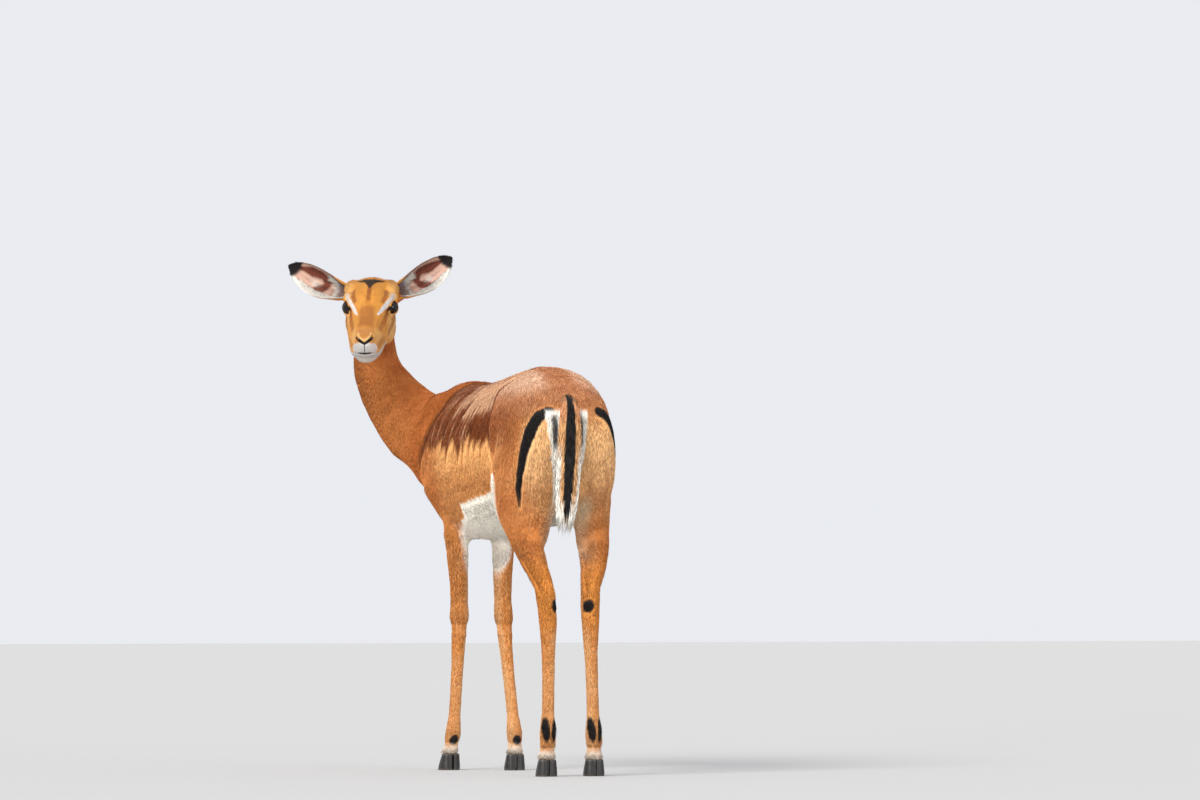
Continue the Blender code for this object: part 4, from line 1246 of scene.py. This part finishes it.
def build_skin():
    """One skin under the solids of flesh by the coat's depth, with its folds."""
    mesh = fused_flesh()
    solid = mesh.copy()
    smooth_skin(mesh)
    points, normals = vertices_of(mesh), read(mesh.vertices, "normal")
    share = zones(points)
    height = (body_relief(points) * (1 - share["head"]) * (1 - share["legs"])
              + leg_relief(points) * share["legs"] + face_relief(points) * share["head"]
              - coat_depth(points) - SEAM)
    points = trim_brisket(points + normals * height[:, None])
    points = hold_inside(points, solid, SEAM + HELD_SHARE * coat_depth(points))
    bpy.data.meshes.remove(solid)
    move(mesh, hollow_ears(fit_lids(points)))
    return mesh


UNDERFUR_SHADE = 0.92  # painted shade: the skin's colours are this much darker than the tufts', as shade under the fur


def add_skin(mesh, grids):
    """The skin with closed grids of points added, in place of the solids of flesh."""
    points = [vertices_of(mesh)]
    # the skin carries the markings with painted shade under the fur
    colours = [markings(points[0]) * UNDERFUR_SHADE]
    faces = [tuple(f.vertices) for f in mesh.polygons]
    start = len(points[0])
    for grid, colour in grids:
        closed = np.ndim(colour) == 1
        grid, colour = outward(grid, colour, closed)
        rows, columns = grid.shape[:2]
        points.append(grid.reshape(-1, 3))
        colours.append(np.broadcast_to(colour, grid.shape).reshape(-1, 3))
        faces += grid_faces(rows, columns, start, closed)
        start += rows * columns
    skin = make_piece("skin", np.concatenate(points), faces, np.concatenate(colours), SKIN)
    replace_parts(skin, *FLESH)


# --- the lie
def trunk_lie(points):
    """Back along the spine, down the flanks and the haunches, back under the belly."""
    s, y, z = straight(points).T
    back = ease(0.8, 0.85, z)
    below = ease(0.58, 0.53, z) * ease(-0.16, -0.1, y) * ease(0.2, 0.14, y)
    fall = 2.4 + 2.6 * ease(0.3, 0.37, y) - 1.3 * ease(0.16, 0.22, y) * ease(0.36, 0.3, y)
    fall = fall * (1 - back) * (1 - below) + 0.05 * back + 0.25 * below
    return bent(np.stack((np.sign(s) * 0.1 * (1 - back), np.ones_like(y), -fall), 1), y)


def head_lie(points):
    """Back from the nose, and fanned out over its front."""
    side, ahead, up = to_frame(points, HEAD).T
    out = np.sign(side) * ease(0.0, 0.03, np.abs(side))
    back = np.stack((0.25 * out, -np.ones(len(side)), -0.3 * ease(0.02, -0.05, up)), 1)
    fan = np.stack((side * 30, np.full(len(side), -0.3), (up + 0.016) * 30), 1)
    front = ease(0.14, 0.152, ahead)[:, None]
    return (back * (1 - front) + fan * front) @ np.array(HEAD)[:3, :3].T


def neck_lie(points):
    share = near_line(points - ORIGIN, NECK_LINE)[1]
    step = np.clip((share * (NECK_STEPS - 2)).astype(int), 0, NECK_STEPS - 2)
    return NECK_LINE[step + 1] - NECK_LINE[step]


def lie(points, normals):
    """The way the fur lies, along the skin."""
    share = zones(points)
    ways = {"trunk": trunk_lie(points), "neck": neck_lie(points), "head": head_lie(points),
            "legs": np.tile((0.0, 0.1, -1.0), (len(points), 1))}
    return along_skin(sum(unit(way) * share[zone][:, None] for zone, way in ways.items()), normals)


def bare(points):
    """Where no tuft grows: nose, mouth, lids, ear mouths, the crease and under the feet."""
    crease, along = near_line(mirrored(straight(points)), HAUNCH_CREASE)
    gone = (points[:, 2] < 0.037) | ((crease < 0.0034) & (along > 0.14) & (along < 0.72))
    p, near = on_head(points), around_head(points)
    for line, half in ((NOSTRIL_V, 0.0038), (MOUTH_LINE, 0.0014), (PHILTRUM, 0.0014)):
        gone |= near & (gap_to(p, line) < half)
    for side in SIDES:
        past, close = past_lids(points, side)
        ear = to_frame(points, EARS[side])
        inside = np.hypot(ear[:, 0], ear[:, 1] - EAR_MIDDLE) < 0.0155
        gone |= close & (past < 0.075) | inside & (ear[:, 2] > -0.01) & (ear[:, 2] < 0.03)
    return gone


# --- the coat
def few(count):
    return count // 1


def scatter(weights, count, random):
    """Evenly spread points on weighted triangles: triangle numbers and shares."""
    total = np.cumsum(weights)
    wanted = (np.arange(count) + random.random(count)) / count * total[-1]
    chosen = np.searchsorted(total, wanted).clip(0, len(weights) - 1)
    a, b = random.random(count), random.random(count)
    swap = a + b > 1
    a, b = np.where(swap, 1 - a, a), np.where(swap, 1 - b, b)
    return chosen, np.stack((1 - a - b, a, b), 1)


TUFT_FACES = np.array(((0, 1, 3), (0, 3, 2), (0, 2, 1), (4, 3, 1), (4, 2, 3), (4, 1, 2)))
TUFT_ROOT_SHADE = (0.9, 0.99, 0.99, 1.01, 1.03)  # painted shade: brightness from root to tip, darker at the root where the tufts shade each other


def tufts(roots, normals, flow, length, width, lift, colours, random, bow=0.35):
    """Slim closed spindles: five corners and six triangles each."""
    count = len(roots)
    swing = random.normal(0, 0.11, count)[:, None]
    flow = unit(flow + np.cross(normals, flow) * swing)
    side = np.cross(normals, flow)
    length = (length * random.uniform(0.75, 1.2, count))[:, None]
    width = (width * random.uniform(0.75, 1.25, count))[:, None]
    rise = normals * length * (lift * random.uniform(0.55, 1.25, count))[:, None]
    mid = roots + flow * length * bow + rise * 0.62
    points = np.stack((roots - normals * width * 0.25, mid - side * width * 0.5,
                       mid + side * width * 0.5, mid + normals * width * 0.3,
                       roots + flow * length + rise), 1)
    # a random tone for each tuft, with painted shade towards its root
    shades = shaded(colours, random.normal(1.0, 0.06, count), TUFT_ROOT_SHADE)
    return points.reshape(-1, 3), faces_of(TUFT_FACES, 5, count), shades


def faces_of(pattern, corners, count):
    """The same faces for each of the tufts."""
    return (corners * np.arange(count)[:, None, None] + pattern).reshape(-1, 3)


def shaded(colours, bright, fade):
    """Each tuft's colour at its corners, from root to tip: its own brightness times the fade, which is
    painted shade.
    """
    return (colours[:, None] * bright[:, None, None] * np.array(fade)[:, None]).reshape(-1, 3)


BOX_MARGIN = 0.0003  # every tuft ends this far inside the frame's own box
PATCH = 0.003  # of the map, for each tuft
PATCH_CORNERS = np.array(((0.5, 0.0), (0.1, 0.4), (0.9, 0.4), (0.5, 0.45), (0.5, 1.0)))


def map_roots(mesh, places, corners, faces):
    """The map: a small patch for each tuft at its root's place, from 0 to 1."""
    places = places * (1 - 2 * PATCH) + PATCH / 2
    spots = (places[:, None] + corners * PATCH).reshape(-1, 2)
    layer_uv = mesh.uv_layers.new(name="OFBake")
    layer_uv.data.foreach_set("uv", spots[faces.ravel()].ravel())


def add_coat_piece(name, points, faces, colours, places):
    """A mesh of tufts; places are the roots on the skin's unwrap."""
    mesh = bpy.data.meshes.new(name)
    points = np.clip(points, np.array(CAD_BOX[0]) + BOX_MARGIN, np.array(CAD_BOX[1]) - BOX_MARGIN)
    mesh.vertices.add(len(points))
    mesh.vertices.foreach_set("co", points.ravel())
    mesh.loops.add(faces.size)
    mesh.loops.foreach_set("vertex_index", faces.ravel())
    mesh.polygons.add(len(faces))
    mesh.polygons.foreach_set("loop_start", np.arange(0, faces.size, 3))
    mesh.update(calc_edges=True)
    low, high = places.min(0), places.max(0)
    map_roots(mesh, (places - low) / np.maximum(high - low, 1e-6), PATCH_CORNERS, faces)
    return finish_piece(name, mesh, colours, FUR)


def unwrap(points, region):
    """Around and along the skin's own shape."""
    if region == "trunk":
        s, y, z = straight(points).T
        across, away, along = s, 0.68 - z, y + 0.45
    elif region == "neck":
        along, out = along_neck(points)
        across, away = out @ np.array((0.8, -0.6, 0.0)), out @ np.array((0.5, 0.6, -0.6))
    elif region == "head":
        side, ahead, up = to_frame(points, HEAD).T
        across, away, along = side, -0.015 - up, ahead + 0.12
    else:
        across, dy = from_leg(points, region)
        away, along = -dy, points[:, 2]
    return np.stack((np.arctan2(across, away) / 6.3 + 0.5, along), 1)


def regions_of(points, zone):
    """The zone's own name, or the nearest leg's, with the numbers of its points."""
    if zone != "legs":
        return [(zone, np.arange(len(points)))]
    nearest = np.argmin(leg_gaps(points), axis=0)
    return [(name, np.nonzero(nearest == k)[0]) for k, name in enumerate(LEGS)]


def head_fur(points):
    """Longer behind the face, shorter on the nose and by the lids, raised on the crown."""
    side, ahead, up = on_head(points).T
    back, snout = ease(0.04, -0.05, ahead), ease(0.1, 0.15, ahead)
    length = (1 + 0.8 * back) * (1 - 0.35 * snout)
    for eye in SIDES:
        past, near = past_lids(points, eye)
        length = length * np.where(near, 0.45 + 0.55 * ease(0.1, 0.45, past), 1)
    crown = ease(0.036, 0.026, side) * strip(ahead, -0.045, 0.018, 0.015) * (up > 0)
    return length, (1 + 0.5 * back) * (1 - 0.25 * snout), 1 + 2.0 * crown


def leg_fur(points):
    """Shorter down the leg, and long over the glands behind the hind fetlocks."""
    z = points[:, 2]
    gland = np.zeros(len(points))
    for name in LEGS[2:]:
        dx, dy = from_leg(points, name)
        gland = np.maximum(gland, (np.hypot(dx, dy) < 0.04) * ease(0.0, 0.008, dy))
    gland = gland * strip(z, 0.1, 0.02, 0.012)
    length = (0.75 + 0.6 * ease(0.25, 0.45, z)) * (1 + 1.4 * gland)
    return length, 1, (0.6 + 0.4 * ease(0.2, 0.45, z)) * (1 + 1.8 * gland)


def trunk_fur(points):
    """Shorter below and in the thigh's crease, and raised along the spine."""
    p = mirrored(straight(points))
    s, y, z = p.T
    crease, share = near_line(p, HAUNCH_CREASE)
    length = ((1 - 0.3 * ease(0.6, 0.5, z))
              * (1 - 0.6 * ease(0.016, 0.006, crease) * ease(1.0, 0.8, share)))
    ridge = ease(0.03, 0.01, s) * ease(0.8, 0.83, z) * ease(-0.26, -0.18, y) * ease(0.22, 0.12, y)
    return length, 1, 1 + 2.4 * ridge


def fur_at(points, zone):
    """Length, width and lift of the tufts at each place."""
    own = {"head": head_fur, "legs": leg_fur, "trunk": trunk_fur}.get(zone)
    scales = own(points) if own else (1, 1, 1)
    return [COAT[zone][key] * scale * np.ones(len(points))
            for key, scale in zip(("length", "width", "lift"), scales)]


def crowding(points, zone):
    """How much closer the tufts stand on the muzzle and over the feet."""
    if zone == "head":
        return 1 + 1.6 * ease(0.05, 0.12, to_frame(points, HEAD)[:, 1])
    if zone == "legs":
        return 1 + 0.8 * ease(0.12, 0.07, points[:, 2])
    return 1


def add_zone(zone, roots, up, random):
    """One zone's tufts, shortened where the colour changes, in pieces of their regions."""
    flow = lie(roots, up)
    length, width, lift = fur_at(roots, zone)
    change = np.abs(markings(roots + flow * length[:, None]) - markings(roots)).sum(1)
    short = 1 - 0.55 * ease(0.2, 0.6, change)
    length, width = length * short, width * np.sqrt(short)
    colours = markings(roots + flow * length[:, None] * 0.5)
    colours *= (1 + 0.07 * noise(roots, 0.0035, 51))[:, None]
    for region, mine in regions_of(roots, zone):
        order = mine[np.argsort(straight(roots[mine])[:, 1], kind="stable")]
        parts = math.ceil(len(order) / PIECE_LIMIT)
        for k, pick in enumerate(np.array_split(order, parts)):
            own = (rows[pick] for rows in (roots, up, flow, length, width, lift, colours))
            add_coat_piece(f"coat_{region}_{k + 1}", *tufts(*own, random), unwrap(roots[pick], region))


def add_coat(mesh):
    random = np.random.default_rng(7)
    mesh.calc_loop_triangles()
    triangles = read(mesh.loop_triangles, "vertices", 3, np.int32)
    points, normals = vertices_of(mesh), read(mesh.vertices, "normal")
    a, b, c = (points[triangles[:, k]] for k in range(3))
    middles = (a + b + c) / 3
    areas = np.linalg.norm(np.cross(b - a, c - a), axis=1) / 2
    furred = areas * ~bare(middles) * ~on_dock(middles)
    share = zones(middles)
    owner = np.argmax([share[zone] for zone in COAT], axis=0)
    for number, (zone, coat) in enumerate(COAT.items()):
        weights = furred * (owner == number) * crowding(middles, zone)
        chosen, mix = scatter(weights, few(coat["count"]), random)
        corners = triangles[chosen]
        roots, up = (np.einsum("nk,nkd->nd", mix, rows[corners]) for rows in (points, normals))
        add_zone(zone, roots, unit(up), random)


# --- the tail
TAIL = mm(  # middle, half width, half thickness of the hanging hair
    (8, 345, 792, 12.5, 10), (14, 384, 778, 19, 12.5), (20, 408, 738, 24, 11.5),
    (25, 416, 670, 26.2, 11.2), (30, 418, 590, 25.5, 11), (35, 417, 525, 18.5, 10),
    (41, 415, 482, 8, 6))
TAIL_STEPS = 60
LOCKS = 7000
LOCK_PARTS = (0.0, 0.3, 0.65, 1.0)  # shares of a lock's length where its rings and tip are
LOCK_SIZES = (0.25, 1.0, 0.9)  # of its width, ring by ring
# Painted shade: each lock's brightness ring by ring from root to tip, darker at the root.
LOCK_ROOT_SHADE = np.repeat((0.85, 1.0, 1.0, 1.03), (3, 3, 3, 1))
LOCK_CORNERS = np.array(((0.2, 0), (0.8, 0), (0.5, 0.1), (0.1, 0.4), (0.9, 0.4), (0.5, 0.4),
                         (0.2, 0.7), (0.8, 0.7), (0.5, 0.7), (0.5, 1)))


def lock_faces():
    """Faces of a lock of three corners to a ring: its root, its two spans and its tip."""
    pairs = ((0, 1), (1, 2), (2, 0))
    faces = [(0, 2, 1)]
    for a in (0, 3):
        faces += [(a + i, a + n, a + 3 + n) for i, n in pairs]
        faces += [(a + i, a + 3 + n, a + 3 + i) for i, n in pairs]
    return np.array(faces + [(6 + i, 6 + n, 9) for i, n in pairs])[:, ::-1]


def on_dock(points):
    """Whether each point is on the hanging part of the dock."""
    p = points - ORIGIN
    gap, share = near_line(p, TAIL_DOCK[:, :3])
    return (gap < 0.016) & (share > 0.12) & (p[:, 1] > 0.385)


def row_at(table, share):
    steps = np.linspace(0, 1, len(table))
    return np.stack([np.interp(share, steps, column) for column in table.T], 1)


def on_tail(table, share, u, v):
    """Points u across and v out from the middle of a row of ovals, and those two ways."""
    row = row_at(table, share)
    ahead = row_at(table, np.minimum(share + 0.02, 1)) - row_at(table, np.maximum(share - 0.02, 0))
    ahead = unit(ahead[:, :3])
    across = unit(np.array((1.0, 0, 0)) - ahead * ahead[:, :1])
    out = np.cross(across, ahead)
    return (row[:, :3] + across * (u * row[:, 3])[:, None] + out * (v * row[:, 4])[:, None]
            + ORIGIN), across, out


def lock_colours(fall, spread, depth, random):
    """Black down the middle of the outer face, tan beside it, white fringes and tip."""
    count = len(fall)
    half = np.interp(fall, (0.54, 0.58, 0.66, 0.74, 0.78), (0.2, 0.36, 0.46, 0.44, 0.36))
    black = ease(0.05, -0.05, np.abs(spread - 0.05) - half) * (depth > -0.1) * ease(0.536, 0.552, fall)
    return layer(plain(tone(198, 142, 88), count),
                 (HAUNCH_PALE, np.clip(0.3 + 0.6 * random.normal(0, 0.35, count), 0, 0.9)),
                 (RUMP, 0.8 * ease(0.735, 0.76, fall)),
                 (WHITE, ease(0.6, 0.85, np.abs(spread)) * ease(0.715, 0.655, fall)),
                 (WHITE, ease(-0.05, -0.35, depth)),
                 (WHITE, ease(0.6, 0.555, fall) * (1 - black)),
                 (BLACK, black))


def add_tail():
    """Locks that start on the dock and flow down inside the tail's outline."""
    random = np.random.default_rng(11)
    count = few(LOCKS)
    dock, hair = curve_through(TAIL_DOCK, TAIL_STEPS), curve_through(TAIL, TAIL_STEPS)
    start = random.random(count) ** 0.9 * 0.97
    turn = random.random(count) * TURN
    lateral, outer = np.cos(turn), np.sin(turn)
    root, across, out = on_tail(dock, start, lateral, outer)
    top = root[:, 2] - BODY_ORIGIN.z
    length = random.uniform(0.034, 0.062, count) * (1 + 0.5 * ease(0.6, 0.56, top))
    spread = lateral * random.uniform(0.75, 1.0, count)
    depth = outer * random.uniform(0.55, 1.0, count)
    steps = []
    for part in LOCK_PARTS:
        z = np.maximum(top - length * part, hair[-1, 2] + 0.001 * random.random(count))
        share = np.interp(-z, -hair[:, 2], np.linspace(0, 1, TAIL_STEPS))
        aside, behind = spread * ease(-0.4, 0.7, part), depth * ease(-0.4, 0.6, part)
        steps.append(on_tail(hair, share, aside, behind)[0])
    steps[0] = root
    width = random.uniform(0.0012, 0.0022, count)[:, None]
    points = []
    for point, scale in zip(steps, LOCK_SIZES):
        size = width * scale
        points += [point - across * size * 0.5, point + across * size * 0.5, point + out * size * 0.4]
    points = np.stack(points + [steps[-1]], 1).reshape(-1, 3)
    faces = faces_of(lock_faces(), 10, count)
    colours = lock_colours(top - length * 0.5, spread, depth, random)
    mesh = bpy.data.meshes.new("coat_tail")
    mesh.from_pydata(points.tolist(), [], faces.tolist())
    map_roots(mesh, np.stack((turn / 6.3, start), 1), LOCK_CORNERS, faces)
    # a random tone for each lock, with painted shade towards its root
    shades = shaded(colours, random.normal(1.0, 0.07, count), LOCK_ROOT_SHADE)
    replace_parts(finish_piece("coat_tail", mesh, shades, FUR), "tail")


# --- the ears
EAR_FUR = {  # count, length, width, lift
    "back": (7400, 0.0062, 0.001, 0.06),
    "down": (4600, 0.0055, 0.0009, 0.1),  # short, over the inside
    "long": (2300, 0.018, 0.001, 0.16),  # from both edges and the base, over the inside
    "fringe": (1100, 0.0058, 0.0009, 0.0),  # along the edges
}


def ear_roots(kind, count, random):
    """Shares along the ear and turns across it where hairs of a kind grow."""
    share = random.random(count)
    turn = random.uniform(-1, 1, count)
    if kind == "long":
        row = random.random(count)
        near = (row < 0.42, row < 0.75)
        edges = random.uniform(0.4, 0.97, count), random.uniform(-0.97, -0.62, count)
        turn = np.select(near, edges, turn)
        share = np.select(near, (0.03 + 0.27 * share, 0.05 + 0.7 * share), 0.02 + 0.14 * share)
    if kind == "fringe":
        turn = np.where(random.random(count) < 0.72, -1.0, 1.0) * random.uniform(0.96, 1, count)
        share = 0.05 + 0.85 * share
    keep = share < 0.97
    return share[keep], turn[keep]


def ear_lie(kind, turn, along, across):
    """Out along the ear, and inside it towards or away from its edges."""
    if kind == "back":
        return along
    if kind == "long":
        return along * 0.95 - across * (0.42 * np.sign(turn) * (np.abs(turn) > 0.4))[:, None]
    return along + across * ((0.5 if kind == "down" else 0.55) * np.sign(turn))[:, None]


def ear_hairs(side, kind, random):
    """The hairs of one kind on one ear, and their places on the map."""
    count, length, width, lift = EAR_FUR[kind]
    share, turn = ear_roots(kind, few(count), random)
    inner = kind != "back"
    depth = EAR_COAT + EAR_HIDE * inner
    root = ear_point(side, share, turn, depth)
    up = unit(ear_point(side, share, turn, depth + (0.001 if inner else -0.001)) - root)
    along = unit(ear_point(side, np.minimum(share + 0.01, 1), turn, depth) - root)
    across = unit(ear_point(side, share, turn + 0.01, depth) - root)
    if not inner:
        square = unit(np.cross(along, across))
        up = square * np.sign(np.sum(square * up, axis=1, keepdims=True))
    flow = along_skin(unit(ear_lie(kind, turn, along, across)), up)
    colours = ear_markings(side, share, turn, inner)
    if kind == "long":
        length = np.where(turn > 0, length, 0.0125)
        colours = layer(colours, (WHITE * 0.78, 0.9 * ease(0.06, 0.16, share) * (share < 0.8)))
    if kind == "fringe":
        colours = layer(colours, (WHITE * 0.82, 0.9 * ((turn < 0) & (share < 0.8))))
    length = length * np.clip((1.06 - share) / 0.15, 0.7, 1)
    shape = tufts(root, up, flow, length, width, lift, colours, random, bow=0.4)
    return *shape, np.stack((turn * 0.25 + (0.25 if inner else 0.75), share), 1)


def add_ear_coat(side):
    """Short fur over the back, and long white hair combed across the inside."""
    random = np.random.default_rng(21 + SIGN[side])
    points, faces, shades, places = zip(*(ear_hairs(side, kind, random) for kind in EAR_FUR))
    starts = np.cumsum([0] + [len(rows) for rows in points])
    faces = [rows + start for rows, start in zip(faces, starts)]
    piece = add_coat_piece("coat_ear_" + side, *map(np.concatenate, (points, faces, shades, places)))
    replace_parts(piece, "ear_" + side)


# --- the hooves
CLAW_GRAIN = 0.002
CLAW_RING = 0.00018  # height of the growth rings
CLAW_INSET = 0.0003  # how far the horn lies inside its solid


def add_claw(name):
    """The claw's solid with its edges rounded, growth rings and a worn rim."""
    mesh = remeshed(solid_of(name), CLAW_GRAIN)
    low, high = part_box(name)
    points = vertices_of(mesh)
    flat = ease(low.z + 0.0004, low.z + 0.003, points[:, 2])
    rounded = relax(mesh, 0.5 * flat, 7, regrow=-0.1)
    centre = (points.min(0) + points.max(0)) / 2
    grow = np.ptp(points, axis=0) / np.ptp(rounded, axis=0)
    points = centre + (rounded - (rounded.min(0) + rounded.max(0)) / 2) * grow
    move(mesh, points)
    height = (points[:, 2] - low.z) / (high.z - low.z)
    rings = np.sin(height * 44 + 2.0 * noise(points, 0.02, 61)) * CLAW_RING * flat * (height < 0.93)
    points = points + read(mesh.vertices, "normal") * (rings - CLAW_INSET)[:, None]
    points[:, 2] = np.clip(points[:, 2], low.z, high.z)
    move(mesh, points)
    colours = layer(plain(tone(26, 22, 21), len(points)),
                    (tone(54, 46, 40), 0.5 * np.clip(noise(points * (1, 1, 4), 0.008, 62), 0, 1)),
                    (tone(84, 74, 64), 0.55 * ease(0.16, 0.02, height)),
                    (tone(120, 104, 88), 0.35 * ease(0.86, 1.0, height)))
    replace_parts(finish_piece("horn_" + name, mesh, colours, HORN), name)


# --- lashes
UPPER_LASHES, LOWER_LASHES = 46, 16


def add_lashes(side):
    """Dark upright lashes along the upper lid and a few below."""
    random = np.random.default_rng(31 + SIGN[side])
    upper = np.linspace(0.12, 0.88, UPPER_LASHES) * math.pi
    lower = np.linspace(1.18, 1.8, LOWER_LASHES) * math.pi
    count = UPPER_LASHES + LOWER_LASHES
    angles = np.concatenate((upper, lower)) + random.normal(0, 0.02, count)
    out = on_rim(side, angles, 1.03)
    root = EYE_AT[side] + out * (EYE_RADIUS + 0.001)
    droop = np.stack((np.cos(angles) * 0.4, np.sin(angles), np.full(count, 0.9)), 1)
    flow = unit(droop @ LIDS[side].T)
    normal = unit(np.cross(flow, np.cross(out, flow)))
    length = np.where(np.arange(count) < UPPER_LASHES, 0.0064, 0.0032)
    shape = tufts(root, normal, flow, length, 0.0005, -0.1, plain(BLACK * 0.8, count), random, bow=0.3)
    places = np.stack((angles / 6.3, 0.5 + 0.01 * np.arange(count) / count), 1)
    add_coat_piece("lashes_" + side, *shape, places)


# --- the stage
FLOOR_TONE = (0.53, 0.525, 0.515)
FLOOR_REACH = 30.0


def floor_material():
    material, shader, node, link = new_material("pale_floor", 0.9)
    grain = fill(node("ShaderNodeTexNoise"), {"Scale": 6})
    blend = node("ShaderNodeMix")
    blend.data_type = "RGBA"
    fill(blend, {"A": (*FLOOR_TONE, 1), "B": (*[c * 0.97 for c in FLOOR_TONE], 1)})
    link(grain.outputs["Fac"], blend.inputs["Factor"])
    link(blend.outputs["Result"], shader.inputs["Base Color"])
    return material


def add_floor():
    grid = bmesh.new()
    corners = [(x * FLOOR_REACH, y * FLOOR_REACH, 0) for x, y in ((-1, -1), (1, -1), (1, 1), (-1, 1))]
    grid.faces.new([grid.verts.new(corner) for corner in corners])
    mesh = mesh_from(grid)
    mesh.materials.append(floor_material())
    add_object("floor", mesh)


CAMERA_YAW = math.radians(18)
CAMERA_DISTANCE = 14.0
CAMERA_HEIGHT = 0.4
CAMERA_LENS = 195.3
AIM_ASIDE, AIM_UP = math.radians(0.713), math.radians(1.633)


def add_camera():
    """The camera, level with the body; gives the ways back to it and to its right."""
    ground = Vector((BODY_ORIGIN.x, BODY_ORIGIN.y, 0))
    back = Vector((math.sin(CAMERA_YAW), math.cos(CAMERA_YAW), 0))
    right = Vector((-math.cos(CAMERA_YAW), math.sin(CAMERA_YAW), 0))
    look = -back + right * math.tan(AIM_ASIDE) + UP * math.tan(AIM_UP)
    data = bpy.data.cameras.new("camera")
    data.lens, data.sensor_width, data.clip_end = CAMERA_LENS, 36, 200
    camera = add_object("camera", data)
    camera.location = ground + back * CAMERA_DISTANCE + UP * CAMERA_HEIGHT
    camera.rotation_euler = look.to_track_quat("-Z", "Y").to_euler()
    bpy.context.scene.camera = camera
    return back, right


LAMPS = (  # back, right and up to it from the animal, strength, softness, colour
    ("key", (1.0, -0.75, 0.95), 2.5, 28, (1.0, 0.98, 0.95)),
    ("left", (1.0, -0.45, 0.12), 0.8, 14, (1.0, 0.99, 0.97)),
    ("right", (0.8, 0.8, 0.18), 0.9, 25, (0.97, 0.98, 1.0)),
)


def add_lights(back, right):
    """A wide soft key from the camera's upper left, a low lamp each side, a bright sky."""
    for name, (behind, aside, up), strength, softness, colour in LAMPS:
        data = bpy.data.lights.new(name, "SUN")
        data.energy, data.angle, data.color = strength, math.radians(softness), colour
        way = back * behind + right * aside + UP * up
        add_object(name, data).rotation_euler = (-way).to_track_quat("-Z", "Y").to_euler()
    world = bpy.data.worlds.new("studio")
    world.use_nodes = True
    fill(world.node_tree.nodes["Background"], {"Color": (0.93, 0.95, 1.0, 1), "Strength": 0.88})
    bpy.context.scene.world = world
    bpy.context.scene.view_settings.view_transform = "Standard"


# --- main
add_floor()
add_lights(*add_camera())
skin_mesh = build_skin()
add_skin(skin_mesh, (*lid_rims(), *ear_skins()))
add_coat(skin_mesh)
add_tail()
for side in SIDES:
    add_ear_coat(side)
    add_eye(side)
    add_lashes(side)
for foot in LEGS:
    for claw in SIDES:
        add_claw(f"claw_{foot}_{claw}")
